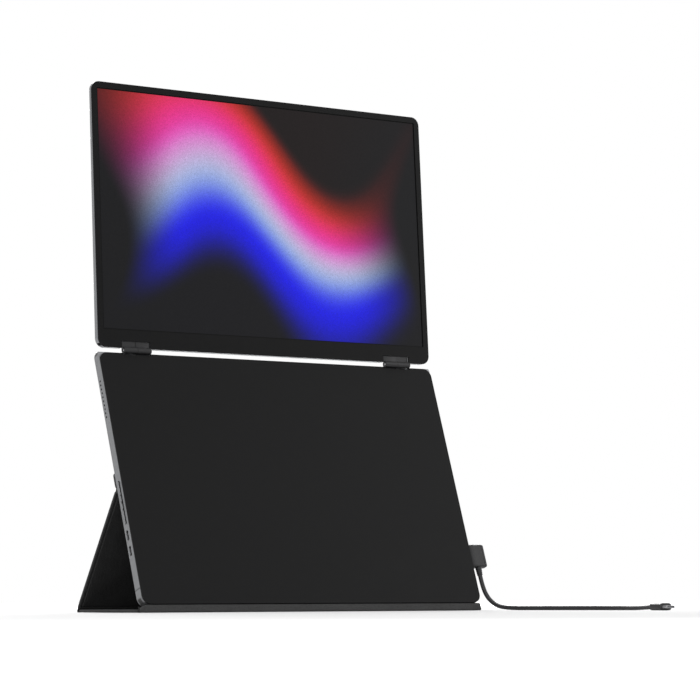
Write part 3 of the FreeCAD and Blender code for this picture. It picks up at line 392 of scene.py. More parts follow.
def grained(name, colour, rough, grain=0.0004, height=0.00002, metallic=0.0, spread=0.06,
            contrast=0.12, smudge=0.35, smudge_size=0.07, level=0.5):
    """A plain finish with its grain: tone and roughness vary with the grain, smudges make
    it a little smoother and darker, and the grain lifts the surface."""
    nodes, shader = start_material(name)
    grainy = use_group(nodes, "fine_grain", Size=grain, Roughness=rough, Spread=spread)
    touched = use_group(nodes, "handling", Size=smudge_size, Amount=smudge)["Mask"]
    base = nodes.blend(grainy["Tone"], opaque(colour, 1 - contrast), opaque(colour, 1 + contrast))
    base = nodes.blend(touched, base, opaque(colour, 0.82))
    roughness = nodes.math("SUBTRACT", grainy["Roughness"], nodes.math("MULTIPLY", touched, 0.12), clamp=True)
    bump = nodes.add("ShaderNodeBump", {"Strength": 0.6, "Distance": height, "Height": grainy["Height"]})
    set_shader(nodes, shader, {"Metallic": metallic, "Specular IOR Level": level},
               {"Base Color": base, "Roughness": roughness, "Normal": bump.outputs[0]})
    return nodes, shader


def build_hide(name, colour, pebble, height):
    """Pebbled hide: creases painted darker as shade, paler tops, rougher in the creases."""
    nodes, shader = start_material(name)
    hide = use_group(nodes, "pebbled_hide", Size=pebble, Crease=0.55)
    touched = use_group(nodes, "handling", Size=0.05, Amount=0.5)["Mask"]
    base = nodes.blend(hide["Tone"], opaque(colour, 0.8), opaque(colour, 1.25))
    # Painted shade: the creases between pebbles go down to 0.45 of the hide's colour
    base = nodes.blend(hide["Crease"], base, opaque(colour, 0.45))
    roughness = nodes.math("SUBTRACT", nodes.span(hide["Crease"], 0.0, 1.0, 0.58, 0.85),
                           nodes.math("MULTIPLY", touched, 0.1))
    bump = nodes.add("ShaderNodeBump", {"Strength": 0.55, "Distance": height, "Height": hide["Height"]})
    set_shader(nodes, shader, {"Specular IOR Level": 0.3},
               {"Base Color": base, "Roughness": roughness, "Normal": bump.outputs[0]})


def build_shell(name, body):
    """Blasted aluminium. Openings' walls between the outer and the inner face of a side
    are painted dark as shade, and the seam of the housing's end cap is dark too."""
    nodes, shader = grained(name, body.shell_colour, body.shell_roughness, grain=0.00022, height=0.000012,
                            contrast=0.06, smudge=0.3, smudge_size=0.09)
    split = nodes.add("ShaderNodeSeparateXYZ", {0: panel_position(nodes, LOWER)}).outputs
    side = nodes.math("ABSOLUTE", split["X"])
    # Painted shade: inside the walls of the side's openings the aluminium turns near black and loses its metal
    deep = nodes.math("MULTIPLY", nodes.span(side, WALL_OUTER * MM, (WALL_OUTER - 0.2) * MM),
                      nodes.math("GREATER_THAN", side, WALL_INNER * MM))
    middle = nodes.math("LESS_THAN", nodes.away(split["Z"], OPENING_OUT * MM), OPENING_HALF * MM)
    seam = nodes.span(nodes.away(split["Y"], SEAM_UP * MM), SEAM_FADE[0] * MM, SEAM_FADE[1] * MM)
    dark = nodes.math("MAXIMUM", nodes.math("MULTIPLY", deep, middle), nodes.math("MULTIPLY", seam, 0.8))
    plain = shader.inputs["Base Color"].links[0].from_socket
    set_shader(nodes, shader, {}, {
        "Base Color": nodes.blend(dark, plain, (0.006, 0.006, 0.006, 1)),
        "Metallic": nodes.math("MULTIPLY", nodes.math("SUBTRACT", 1.0, dark), 0.9)})


def build_keys(name, body):
    """Satin metal on the keys' outer faces; their sides are painted black as shade, and a
    dark half-round in the middle of the middle key's front edge is painted shade of a notch."""
    nodes, shader = grained(name, opaque(body.shell_colour, 0.9), body.shell_roughness, grain=0.00018,
                            height=0.000008, contrast=0.06, smudge=0.4, smudge_size=0.006)
    split = nodes.add("ShaderNodeSeparateXYZ", {0: panel_position(nodes, LOWER)}).outputs
    # Painted shade: black on the keys' sides and on a half-round notch at the middle key's front edge
    outer = nodes.span(split["X"], -0.17855, -0.17868)
    along = nodes.math("DIVIDE", nodes.math("SUBTRACT", split["Y"], KEY_NOTCH_SHADE_UP * MM), 0.0012)
    ahead = nodes.math("DIVIDE", nodes.math("SUBTRACT", split["Z"], KEY_OUT[1] * MM), 0.0009)
    away = nodes.math("ADD", nodes.math("POWER", along, 2.0), nodes.math("POWER", ahead, 2.0))
    metal = nodes.math("MULTIPLY", outer, nodes.span(away, 0.8, 1.2))
    plain = shader.inputs["Base Color"].links[0].from_socket
    set_shader(nodes, shader, {}, {"Base Color": nodes.blend(metal, (0.008, 0.008, 0.008, 1), plain),
                                   "Metallic": nodes.math("MULTIPLY", metal, 0.9)})


def build_circuit(name):
    """Circuit board: solder mask, raised traces along rows and columns, bright pads."""
    nodes, shader = start_material(name)
    turned = nodes.add("ShaderNodeMapping", {"Vector": nodes.place(),
                                             "Rotation": (-housing_angle, 0.0, 0.0)}).outputs[0]
    split = nodes.add("ShaderNodeSeparateXYZ", {0: turned}).outputs
    cell = nodes.add("ShaderNodeTexVoronoi", {"Vector": turned, "Scale": 140.0, "Randomness": 0.6},
                     distance="CHEBYCHEV").outputs
    stripes = nodes.math("SINE", nodes.math("MULTIPLY", split["X"], 5200.0))
    crossing = nodes.math("SINE", nodes.math("MULTIPLY", split["Y"], 5200.0))
    chance = nodes.add("ShaderNodeSeparateXYZ", {0: cell["Color"]}).outputs["X"]
    choose = nodes.math("GREATER_THAN", chance, 0.5)
    way = nodes.math("ADD", nodes.math("MULTIPLY", stripes, choose),
                     nodes.math("MULTIPLY", crossing, nodes.math("SUBTRACT", 1.0, choose)))
    trace = nodes.span(way, 0.35, 0.6)
    pad = nodes.span(cell["Distance"], 0.13, 0.1)
    base = nodes.blend(trace, (0.006, 0.035, 0.018, 1), (0.012, 0.085, 0.04, 1))
    base = nodes.blend(pad, base, (0.62, 0.5, 0.24, 1))
    rise = nodes.math("ADD", trace, nodes.math("MULTIPLY", pad, 1.5))
    bump = nodes.add("ShaderNodeBump", {"Strength": 0.5, "Distance": 0.00005, "Height": rise})
    set_shader(nodes, shader, {}, {
        "Base Color": base, "Metallic": pad, "Roughness": nodes.span(pad, 0.0, 1.0, 0.35, 0.28),
        "Normal": bump.outputs[0]})


def panel_position(nodes, panel):
    """Object coordinates turned into a panel's own: across, up the panel, out of its face."""
    turn = Euler((-panel.angle, 0.0, 0.0)).to_matrix()
    shift = -(turn @ Vector((0.0, *panel.origin)))
    mapping = nodes.add("ShaderNodeMapping", {"Vector": nodes.place(), "Rotation": (-panel.angle, 0.0, 0.0),
                                              "Location": tuple(shift)})
    return mapping.outputs[0]


def build_picture(name, look):
    """The lit screen: soft waves of colour. The place up the panel is bent by two slow
    waves and a noise, a colour ramp reads it, and a wide spot fades the sides to black."""
    nodes, shader = start_material(name)
    place = panel_position(nodes, UPPER)
    split = nodes.add("ShaderNodeSeparateXYZ", {0: place}).outputs
    across = nodes.span(split["X"], -PICTURE_HALF * MM, PICTURE_HALF * MM)
    up = nodes.span(split["Y"], PICTURE_LOW * MM, PICTURE_HIGH * MM)
    slow = nodes.noise(place, 5.5, 0.0)
    swings = []
    for pace, start, reach in ((5.4, 3.6, 0.2), (10.3, 0.6, 0.055)):
        turn = nodes.math("ADD", nodes.math("MULTIPLY", across, pace), start)
        swings.append(nodes.math("MULTIPLY", nodes.math("SINE", turn), reach))
    bend = nodes.math("ADD", nodes.math("ADD", *swings),
                      nodes.math("MULTIPLY", nodes.math("SUBTRACT", slow, 0.5), 0.5))
    level = nodes.math("ADD", up, bend)
    ramp = nodes.add("ShaderNodeValToRGB", {"Fac": level})
    ramp.color_ramp.interpolation = "B_SPLINE"
    stops = (
        (0.00, (0.008, 0.008, 0.009)), (0.12, (0.008, 0.008, 0.012)), (0.24, look.blue),
        (0.36, look.blue), (0.48, look.cyan), (0.60, look.pink), (0.68, look.magenta),
        (0.80, look.red), (0.92, (0.03, 0.010, 0.010)), (1.00, (0.007, 0.007, 0.007)),
    )
    elements = ramp.color_ramp.elements
    while len(elements) < len(stops):
        elements.new(0.5)
    for element, (position, colour) in zip(elements, stops):
        element.position = position
        element.color = opaque(colour)
    side = nodes.away(across, 0.47)
    fade = nodes.span(nodes.math("ADD", side, nodes.math("MULTIPLY", nodes.math("SUBTRACT", slow, 0.5), 0.4)),
                      0.50, 0.22, smooth=True)
    lit = nodes.blend(fade, (0.008, 0.008, 0.009, 1), ramp.outputs["Color"])
    grain = nodes.noise(place, 1700.0, 1.0)
    dust = nodes.span(grain, 0.25, 0.75, 0.72, 1.22)
    scaled = nodes.add("ShaderNodeVectorMath", {0: lit}, operation="SCALE")
    nodes.tree.links.new(dust, scaled.inputs["Scale"])
    inside_x = nodes.math("LESS_THAN", nodes.math("ABSOLUTE", split["X"]), GLASS_HALF * MM)
    inside_y = nodes.math("LESS_THAN", nodes.away(split["Y"], GLASS_MIDDLE * MM), GLASS_HALF_UP * MM)
    inside = nodes.math("MULTIPLY", inside_x, inside_y)
    front = nodes.math("GREATER_THAN", split["Z"], GLASS_FACE * MM)
    shown = nodes.math("MULTIPLY", inside, front)
    glow = nodes.blend(shown, (0, 0, 0, 1), scaled.outputs[0])
    sheen = nodes.add("ShaderNodeTexNoise", {"Vector": place, "Scale": 2600.0, "Detail": 1.0})
    bump = nodes.add("ShaderNodeBump", {"Strength": 0.12, "Distance": 0.00001, "Height": sheen.outputs["Fac"]})
    set_shader(nodes, shader, {"Emission Strength": look.brightness, "Specular IOR Level": 0.06}, {
        "Base Color": nodes.blend(inside, (0.003, 0.003, 0.003, 1), (0.0035, 0.0035, 0.0037, 1)),
        "Roughness": nodes.span(sheen.outputs["Fac"], 0.2, 0.8, 0.30, 0.38),
        "Emission Color": glow, "Normal": bump.outputs[0]})


def build_finishes(body, cover, picture, lead):
    """Every shared group first, then one material for each slot of the record and for the
    detail pieces."""
    build_grain_group()
    build_handling_group()
    build_pebble_group()
    build_shell("aluminium_shell", body)
    build_keys("key_metal", body)
    grained("black_bezel", body.bezel_colour, 0.42, grain=0.00028, height=0.000010, contrast=0.15,
            smudge=0.4, level=0.08)
    grained("front_plate", opaque(body.bezel_colour, 0.8), 0.5, grain=0.0003, height=0.000016, contrast=0.15,
            smudge=0.4, level=0.1)
    build_picture("screen", picture)
    grained("light_guide", (0.85, 0.86, 0.88), 0.18, grain=0.0006, height=0.000006, contrast=0.03, smudge=0.1)
    grained("steel", (0.5, 0.5, 0.51), 0.32, grain=0.0005, height=0.000008, metallic=1.0, contrast=0.08)
    grained("hinge_steel", (0.016, 0.016, 0.017), 0.4, grain=0.00025, height=0.00001, metallic=0.5,
            contrast=0.14, smudge_size=0.01)
    build_circuit("circuit_board")
    grained("port_metal", (0.42, 0.42, 0.43), 0.26, grain=0.0004, height=0.000005, metallic=1.0, contrast=0.07,
            smudge_size=0.004)
    grained("contact_gold", (0.72, 0.52, 0.2), 0.24, grain=0.0003, height=0.000003, metallic=1.0, contrast=0.06)
    grained("speaker_plastic", (0.03, 0.03, 0.03), 0.6, grain=0.0003, height=0.00002)
    grained("foot_rubber", (0.013, 0.013, 0.0132), 0.62, grain=0.00035, height=0.00002, level=0.15)
    grained("cover_board", (0.3, 0.27, 0.22), 0.8, grain=0.0008, height=0.00004, contrast=0.2)
    grained("magnet", (0.55, 0.55, 0.57), 0.25, grain=0.0004, height=0.000004, metallic=1.0)
    grained("plug_plastic", lead.plug_colour, 0.46, grain=0.0002, height=0.000012, contrast=0.12,
            smudge_size=0.008, level=0.25)
    grained("cable_jacket", lead.jacket_colour, 0.55, grain=0.00025, height=0.000012, contrast=0.12,
            smudge_size=0.02, level=0.35)
    build_hide("cover_skin", cover.hide_colour, cover.pebble, cover.pebble * 0.12)
    build_hide("pressed_edge", opaque(cover.hide_colour, 1.35), cover.pebble * 0.8, cover.pebble * 0.06)
    nodes, shader = grained("sound_cloth", (0.016, 0.016, 0.016), 0.75, grain=0.0003, height=0.00001)
    place = panel_position(nodes, LOWER)
    weave = nodes.add("ShaderNodeTexChecker", {"Vector": place, "Scale": 3300.0}).outputs["Fac"]
    threads = nodes.add("ShaderNodeBump", {"Strength": 0.8, "Distance": 0.0001, "Height": weave})
    nodes.tree.links.new(threads.outputs[0], shader.inputs["Normal"])


# ---------------------------------------------------------------- settings

def colour_property(name, description, default):
    return FloatVectorProperty(name=name, description=description, default=default, size=3, min=0.0, max=1.0,
                               subtype="COLOR")


def length_property(name, description, default, low, high, precision=5):
    return FloatProperty(name=name, description=description, default=default, min=low, max=high,
                         subtype="DISTANCE", unit="LENGTH", precision=precision)


def power_property(name, description, default):
    return FloatProperty(name=name, description=description, default=default, min=0.0, subtype="POWER",
                         unit="POWER")


class BodySettings(PropertyGroup):
    shell_colour: colour_property("Shell colour", "Anodised aluminium of both panels", (0.21, 0.213, 0.22))
    shell_roughness: FloatProperty(name="Shell roughness", description="Satin of the aluminium", default=0.42,
                                   min=0.0, max=1.0, subtype="FACTOR")
    bezel_colour: colour_property("Bezel colour", "Black frame round the picture", (0.0050, 0.0050, 0.0052))


class CoverSettings(PropertyGroup):
    hide_colour: colour_property("Hide colour", "Folding cover's skin", (0.020, 0.020, 0.0202))
    pebble: length_property("Pebble size", "Size of the hide's pebbles", 0.0008, 0.0002, 0.005)
    hem_inset: length_property("Hem inset", "Cover's edge to the middle of its pressed line", 0.0032, 0.001, 0.01)
    hem_depth: length_property("Hem depth", "Depth of the pressed line", 0.00028, 0.0, 0.0008)
    corner: length_property("Corner radius", "Rounded corners of the cover's panels", 0.0025, 0.0005, 0.01)
    crease: length_property("Fold creases", "Height of the small creases along each fold", 0.00006, 0.0, 0.0005)


class PictureSettings(PropertyGroup):
    blue: colour_property("Blue", "Deepest colour of the waves", (0.012, 0.012, 0.80))
    cyan: colour_property("Cyan", "Palest colour of the waves", (0.42, 0.62, 0.72))
    pink: colour_property("Pink", "Pink of the waves", (0.74, 0.16, 0.62))
    magenta: colour_property("Magenta", "Magenta of the waves", (0.78, 0.02, 0.33))
    red: colour_property("Red", "Red of the waves", (0.80, 0.04, 0.02))
    brightness: FloatProperty(name="Brightness", description="Strength of the lit picture", default=1.0,
                              min=0.0, max=5.0)


class LeadSettings(PropertyGroup):
    diameter: length_property("Lead diameter", "Outside of the lead's jacket", 0.004, 0.001, 0.01, 4)
    length: length_property("Lead length", "From the strain relief to the straight plug", 0.2509, 0.05, 3.0, 4)
    jacket_colour: colour_property("Jacket colour", "Lead's jacket", (0.014, 0.014, 0.015))
    plug_colour: colour_property("Plug colour", "Both plug bodies", (0.020, 0.020, 0.021))


class StudioSettings(PropertyGroup):
    lens: FloatProperty(name="Lens", description="Focal length on a 36 mm sensor", default=144.62, min=10.0,
                        max=500.0)
    floor_colour: colour_property("Floor colour", "Pale floor", (0.62, 0.62, 0.62))
    key_power: power_property("Key power", "Large lamp at the front left", 26.0)
    fill_power: power_property("Fill power", "Large lamp at the right", 16.0)
    top_power: power_property("Top power", "Large lamp above", 26.0)
    side_power: power_property("Side power", "Low lamp at the left, for the side faces", 5.0)
    back_power: power_property("Back power", "Lamp behind, for the soft shadow ahead", 80.0)
    white_from: length_property("White from", "Where the floor begins to fade to plain white", 0.9, 0.1, 5.0, 3)
    sky: FloatProperty(name="Surroundings", description="Even light from all round", default=0.45, min=0.0,
                       max=2.0)


# ---------------------------------------------------------------- pieces

LEAD_POINTS = (
    (188.0, -42.0445, 31.763),
    (188.0, -46.0445, 20.463),
    (188.3, -54.0445, 10.263),
    (188.9, -66.2445, 3.663),
    (190.4, -84.2445, 2.0),
    (193.9, -108.2445, 2.0),
    (200.4, -141.2445, 2.0),
    (206.4, -179.2445, 2.0),
    (206.9, -215.2445, 2.0),
    (201.9, -248.2445, 2.0),
    (195.4, -276.2445, 3.1),
)
ANGLED_X = (179.0, 197.0)
ANGLED_Y = (35.5, 57.2)
ANGLED_ROUND, ANGLED_HALF_DEPTH = 1.7, 3.7
# Grooves along the front: from the outer side, and depth
ANGLED_GROOVES = ((3.4, 0.5), (9.6, 0.32))
RELIEF_LENGTH, RELIEF_SUNK = 7.5, 0.2
STRAIGHT_LENGTH, STRAIGHT_ROUND = 22.0, 1.6
STRAIGHT_HALF_WIDTH, STRAIGHT_HALF_DEPTH = 5.3, 3.1
RIDGE_HEIGHT, RIDGE_PITCH, GRIP_HALF = 0.16, 1.25, 5.0


class EXTENDER_OT_finishes(Operator):
    """Make every material and give each carried-over part the one that its record names"""
    bl_idname = "extender.finishes"
    bl_label = "Finishes"

    def execute(self, context):
        scene = context.scene
        build_finishes(scene.extender_body, scene.extender_cover, scene.extender_picture, scene.extender_lead)
        for part in frame["record"]["subparts"]:
            mesh = frame["nodes"][part["node"]].data
            mesh.materials.clear()
            mesh.materials.append(finish(part["material_slot"]))
        return {"FINISHED"}


def angled_body():
    """Right-angle plug: superellipse sections carried along the housing, drawn in at both
    ends, with two parting grooves cut along the front."""
    stations, inset = soft_length((ANGLED_Y[1] - ANGLED_Y[0]) * MM, ANGLED_ROUND * MM)
    a, b = soft_section(1.0, 1.0, 5.0, 128)
    half_a = (ANGLED_X[1] - ANGLED_X[0]) / 2 * MM - inset[:, None]
    across = half_a * a
    thick = (ANGLED_HALF_DEPTH * MM - inset[:, None]) * b
    for groove, depth in ANGLED_GROOVES:
        away = np.abs(across - (half_a - groove * MM))
        thick = thick - np.where(b > 0, depth * MM * np.clip(1.3 - away / (0.7 * MM), 0, 1), 0)
    middle = (ANGLED_X[0] + ANGLED_X[1]) / 2 * MM
    return loft(LOWER.place(middle + across, ANGLED_Y[0] * MM + stations[:, None], PORT_OUT * MM + thick))


def relief_sleeve():
    """Strain relief: a cone turned about the lead's first run, with rings pressed in."""
    t = np.linspace(0.0, 1.0, 49)
    radius = 3.0 - 0.5 * t - 0.28 * np.clip(np.sin(t * 2 * math.pi * 4), 0, 1) ** 2
    radius[-3:] -= np.array([0.05, 0.18, 0.4])
    turn = np.linspace(0.0, 2 * math.pi, 40, endpoint=False)
    middle = (ANGLED_X[0] + ANGLED_X[1]) / 2
    across = middle + radius[:, None] * np.cos(turn)
    out = PORT_OUT + radius[:, None] * np.sin(turn)
    up = ANGLED_Y[0] + RELIEF_SUNK - (RELIEF_LENGTH + RELIEF_SUNK) * t[:, None]
    return loft(LOWER.place(across * MM, up * MM, out * MM))


def straight_body():
    """Straight plug: superellipse sections carried along its heading, with finger ridges
    across the middle of both broad faces."""
    length = STRAIGHT_LENGTH * MM
    stations, inset = soft_length(length, STRAIGHT_ROUND * MM, middle=60)
    across, thick = soft_section(1.0, 1.0, 4.0, 64)
    grip = np.abs(stations - length / 2) < GRIP_HALF * MM
    ridge = RIDGE_HEIGHT * MM * grip * (0.5 + 0.5 * np.cos(stations / (RIDGE_PITCH * MM) * 2 * math.pi))
    half_across = STRAIGHT_HALF_WIDTH * MM - inset
    half_thick = STRAIGHT_HALF_DEPTH * MM - inset - RIDGE_HEIGHT * MM * grip + ridge
    end, before = np.array(LEAD_POINTS[-1]) * MM, np.array(LEAD_POINTS[-2]) * MM
    heading = (end - before)[:2] / np.linalg.norm((end - before)[:2])
    side = np.array([-heading[1], heading[0]])
    x = end[0] + stations[:, None] * heading[0] + half_across[:, None] * across * side[0]
    y = end[1] + stations[:, None] * heading[1] + half_across[:, None] * across * side[1]
    z = end[2] + half_thick[:, None] * thick
    return loft(np.stack([x, y, z], axis=-1))


class EXTENDER_OT_plugs(Operator):
    """Build the angled plug, its ribbed strain relief and the straight plug"""
    bl_idname = "extender.plugs"
    bl_label = "Plugs"

    def execute(self, context):
        for name, shape, node in (
            ("angled_plug_moulding", angled_body(), "angled_plug_body"),
            ("ribbed_relief", relief_sleeve(), "strain_relief"),
            ("straight_plug_moulding", straight_body(), "end_plug_body"),
        ):
            piece = add_piece(name, *shape, "plug_plastic", "plug_plastic", sharp=30.0)
            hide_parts(node)
        return {"FINISHED"}


class EXTENDER_OT_lead(Operator):
    bl_idname = "extender.lead"
    bl_label = "Lead"

    def execute(self, context):
        sizes = context.scene.extender_lead
        curve = bpy.data.curves.new("lead", "CURVE")
        curve.dimensions = "3D"
        spline = curve.splines.new("NURBS")
        spline.points.add(len(LEAD_POINTS) - 1)
        places = np.ones((len(LEAD_POINTS), 4))
        places[:, :3] = np.array(LEAD_POINTS) * MM
        spline.points.foreach_set("co", places.ravel())
        spline.order_u = 3
        spline.use_endpoint_u = True
        spline.resolution_u = 10
        curve.bevel_depth = sizes.diameter / 2
        curve.bevel_resolution = 6
        curve.use_fill_caps = True
        lead = bpy.data.objects.new("lead", curve)
        context.scene.collection.objects.link(lead)
        curve.materials.append(finish("cable_jacket"))
        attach(lead, HOUSING)
        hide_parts("usb_lead")
        return {"FINISHED"}


COVER_HALF = 177.9 * MM
# Thin hide over the folds: its middle behind the fold's axis, its thickness, its reach along a panel
HIDE_OFFSET, HIDE_THICKNESS = -0.00105, 0.0005
HIDE_REACH, FIRST_REACH = 0.0055, 0.0035
HIDE_END = 0.0012
FIRST_ANGLE = math.radians(-110.0)
CREASE_LENGTHS = (0.0031, 0.0072, 0.0153, 0.031)


def hem_section(sizes):
    """Half thickness of a cover panel against the distance from its edge, over the front
    face, round the edge and back over the rear face."""
    hem, deep = sizes.hem_inset, sizes.hem_depth
    inset = np.array([hem * 1.9, hem * 1.4, hem + 0.0007, hem + 0.00045, hem + 0.0002, hem, hem - 0.0002,
                      hem - 0.00045, hem - 0.0007, 0.0013, 0.0008, 0.00045, 0.0002, 0.00006, 0.0])
    rise = np.array([1.30, 1.30, 1.26, 1.20, 1.18, 1.18, 1.18, 1.18, 1.19, 1.19, 1.14, 1.02, 0.76, 0.38,
                     0.0]) * MM
    rise[3:8] -= deep * np.array([0.15, 0.8, 1.0, 0.8, 0.15])
    return np.concatenate([inset, inset[-2::-1]]), np.concatenate([rise, -rise[-2::-1]])


def pressed_panel(panel, y_span, sizes):
    """Hem section carried round a rounded rectangle, in a panel's own frame."""
    inset, rise = hem_section(sizes)
    line = rounded_outline((-COVER_HALF, COVER_HALF), y_span, sizes.corner, inset)
    return loft(panel.place(line[..., 0], line[..., 1], rise[:, None]))


class EXTENDER_OT_cover_panels(Operator):
    """Build the cover's three pressed panels in place of their plain slabs"""
    bl_idname = "extender.cover_panels"
    bl_label = "Cover Panels"

    def execute(self, context):
        sizes = context.scene.extender_cover
        for name, panel, y_span, node in (
            ("base_cover", BASE, (0.0012, 0.1018), "base_panel_skin"),
            ("prop_cover", PROP, (0.0014, 0.1223), "prop_panel_skin"),
            ("strip_cover", STRIP, (0.0006, 0.0150), "end_strip_skin"),
        ):
            piece = add_piece(name, *pressed_panel(panel, y_span, sizes), "cover_skin", "cover_skin",
                              body=node.replace("_skin", ""))
            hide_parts(node)
        return {"FINISHED"}


def fold_line(first, second, tails, offset, samples=14):
    """YZ line on the outer side of a fold, a tail along each panel. Where the outer side is
    the outside of the bend, an arc of radius |offset| about the fold's axis joins the tails;
    on the inside of a bend a straight piece does."""
    first = PanelFrame(second.origin, first.angle)
    tail_one = first.section(np.linspace(tails[0], tails[0] * 0.25, 6), offset)
    tail_two = second.section(np.linspace(tails[1] * 0.25, tails[1], 6), offset)
    turn = second.angle - first.angle
    start, end = math.atan2(*(first.out * offset)[::-1]), math.atan2(*(second.out * offset)[::-1])
    if turn * offset < 0:
        way = start + np.linspace(0, 1, samples) * ((end - start + math.pi) % (2 * math.pi) - math.pi)
        middle = second.origin + abs(offset) * np.stack([np.cos(way), np.sin(way)], axis=-1)
    else:
        middle = np.empty((0, 2))
    return np.concatenate([tail_one, middle, tail_two])


def thick_strip(line, thickness, stations, crease, seed):
    """Strip of even thickness carried along X: the line is offset both ways along its
    normals, and the outer side rises by small creases that run along the fold."""
    along = np.gradient(line, axis=0)
    normal = np.stack([along[:, 1], -along[:, 0]], axis=-1)
    normal /= np.linalg.norm(normal, axis=1)[:, None]
    profile = np.concatenate([line + normal * thickness / 2, (line - normal * thickness / 2)[::-1]])
    outward = np.concatenate([normal, -normal[::-1]])
    phase = np.random.default_rng(seed).uniform(0, 2 * math.pi, 4)
    waves = sum(np.sin(stations / length + shift) for length, shift in zip(CREASE_LENGTHS, phase))
    count = len(line)
    reach = np.sin(np.linspace(0, math.pi, count)) ** 2
    lift = crease * waves[:, None] * np.concatenate([reach, np.zeros(count)])[None] / 4
    points = profile[None] + outward[None] * lift[..., None]
    across = np.broadcast_to(stations[:, None, None], points.shape[:2] + (1,))
    return loft(np.concatenate([across, points], axis=-1))


class EXTENDER_OT_fold_skins(Operator):
    """Build the thin hide that bends over each of the cover's folds"""
    bl_idname = "extender.fold_skins"
    bl_label = "Fold Skins"

    def execute(self, context):
        sizes = context.scene.extender_cover
        stations = np.linspace(-COVER_HALF + HIDE_END, COVER_HALF - HIDE_END, 180)
        front = PanelFrame(BASE.origin, FIRST_ANGLE)
        for seed, (name, first, second, bodies, tails) in enumerate((
            ("foot_fold_hide", BASE, PROP, ("base_panel", "prop_panel"), (-HIDE_REACH, HIDE_REACH)),
            ("upper_fold_hide", PROP, STRIP, ("prop_panel", "end_strip"), (-HIDE_REACH, HIDE_REACH * 0.8)),
            ("first_fold_hide", front, BASE, (HOUSING, "base_panel"), (-FIRST_REACH, HIDE_REACH)),
        )):
            line = fold_line(first, second, tails, HIDE_OFFSET)
            shape = thick_strip(line, HIDE_THICKNESS, stations, sizes.crease, seed)
            piece = add_piece(name, *shape, "cover_skin", "cover_skin", body=None)
            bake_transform(piece)
        return {"FINISHED"}


FOOT_HALF = 177.0 * MM


class EXTENDER_OT_foot(Operator):
    """Build the soft bar under the housing's end"""
    bl_idname = "extender.foot"
    bl_label = "Foot"

    def execute(self, context):
        top_back, top_front = LOWER.section(0.0, 0.2 * MM), LOWER.section(0.0, 10.5 * MM)
        low_front = np.array([LOWER.section(-7.8 * MM, 10.6 * MM)[0], 0.0])
        low_back = np.array([top_back[0] - 0.6 * MM, 0.0])
        corners = np.array([top_back, low_back, low_front, top_front])
        profile = rounded_polygon(corners, np.array([0.6, 1.2, 1.6, 2.2]) * MM)
        stations, inset = soft_length(2 * FOOT_HALF, 1.6 * MM, middle=30)
        shape = loft(carried(profile, stations - FOOT_HALF, inset))
        piece = add_piece("foot_roll", *shape, "cover_skin", "foot_rubber")
        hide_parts("foot_bar")
        return {"FINISHED"}


def key_cap(low):
    """Key: a rounded outline carried outwards; each ring has its own inset and distance from
    the housing's middle, which gives a soft rim and a shallow dish."""
    inset = np.array([0.0, 0.0, 0.02, 0.08, 0.2, 0.34, 0.5, 0.75, 1.0]) * MM
    reach = np.array([175.7, 178.5, 178.64, 178.74, 178.79, 178.8, 178.78, 178.75, 178.74]) * MM
    line = rounded_outline((low * MM, (low + KEY_LENGTH) * MM), (KEY_OUT[0] * MM, KEY_OUT[1] * MM),
                           1.02 * MM, inset, turns=9)
    return loft(LOWER.place(-reach[:, None], line[..., 0], line[..., 1]))


class EXTENDER_OT_keys(Operator):
    """Build the three dished keys in their slot"""
    bl_idname = "extender.keys"
    bl_label = "Keys"

    def execute(self, context):
        for place, key in enumerate(("volume_down_key", "volume_up_key", "menu_key")):
            low = KEY_SLOT_LOW + KEY_GAP + place * (KEY_LENGTH + KEY_GAP)
            piece = add_piece(f"{key}_cap", *key_cap(low), "key_metal", "key_metal", body=key)
            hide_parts(key)
        return {"FINISHED"}


# A notch cover clears the barrel below it and meets the hinge's upper neck at its side
NOTCH_COVER_X, NOTCH_COVER_UP = (125.8 * MM, 140.2 * MM), (2.7 * MM, 8.15 * MM)


class EXTENDER_OT_hinge_covers(Operator):
    """Close the display's notch beside each hinge with a thin cover above the barrel"""
    bl_idname = "extender.hinge_covers"
    bl_label = "Hinge Covers"

    def execute(self, context):
        for name, side in (("hinge_cover_left", -1), ("hinge_cover_right", 1)):
            inset = np.array([0.25, 0.05, 0.0, 0.0, 0.05, 0.25]) * MM
            out = np.array([-1.5, -1.54, -1.7, -2.5, -2.66, -2.7]) * MM
            line = rounded_outline(NOTCH_COVER_X, NOTCH_COVER_UP, 0.5 * MM, inset)
            shape = loft(UPPER.place(side * line[..., 0], line[..., 1], out[:, None]))
            add_piece(name, *shape, "hinge_steel", "hinge_steel", body="display_panel")
        return {"FINISHED"}


CONTACTS, CONTACT_PITCH = 12, 0.5
# Each contact: inwards, up and thick; its inner end from the housing's middle; the tongue's half depth
CONTACT_SIZE, CONTACT_REACH, TONGUE_FACE = (3.4, 0.24, 0.03), 173.0, 0.34
CONTACT_ROWS = (("contacts_low", -1, 49.5), ("contacts_high", -1, 63.6), ("contacts_right", 1, 52.0))


class EXTENDER_OT_ports(Operator):
    """Add the rows of contacts on the tongue of each socket"""
    bl_idname = "extender.ports"
    bl_label = "Port Contacts"

    def execute(self, context):
        count = np.arange(CONTACTS)
        for name, side, up in CONTACT_ROWS:
            row = up + (count - (CONTACTS - 1) / 2) * CONTACT_PITCH
            front = np.stack([np.full(CONTACTS, CONTACT_REACH), row - CONTACT_SIZE[1] / 2,
                              np.full(CONTACTS, PORT_OUT + TONGUE_FACE)], axis=-1)
            back = front - np.array([0.0, 0.0, 2 * TONGUE_FACE + CONTACT_SIZE[2]])
            low = np.concatenate([front, back])
            points, faces = boxes(low, low + np.array(CONTACT_SIZE))
            points = LOWER.place(side * points[:, 0] * MM, points[:, 1] * MM, points[:, 2] * MM)
            add_piece(name, points, faces, "contact_gold", "port_metal")
        return {"FINISHED"}


CLOTH_UP, CLOTH_OUT = (0.1702, 0.2086), (2.2 * MM, 5.6 * MM)


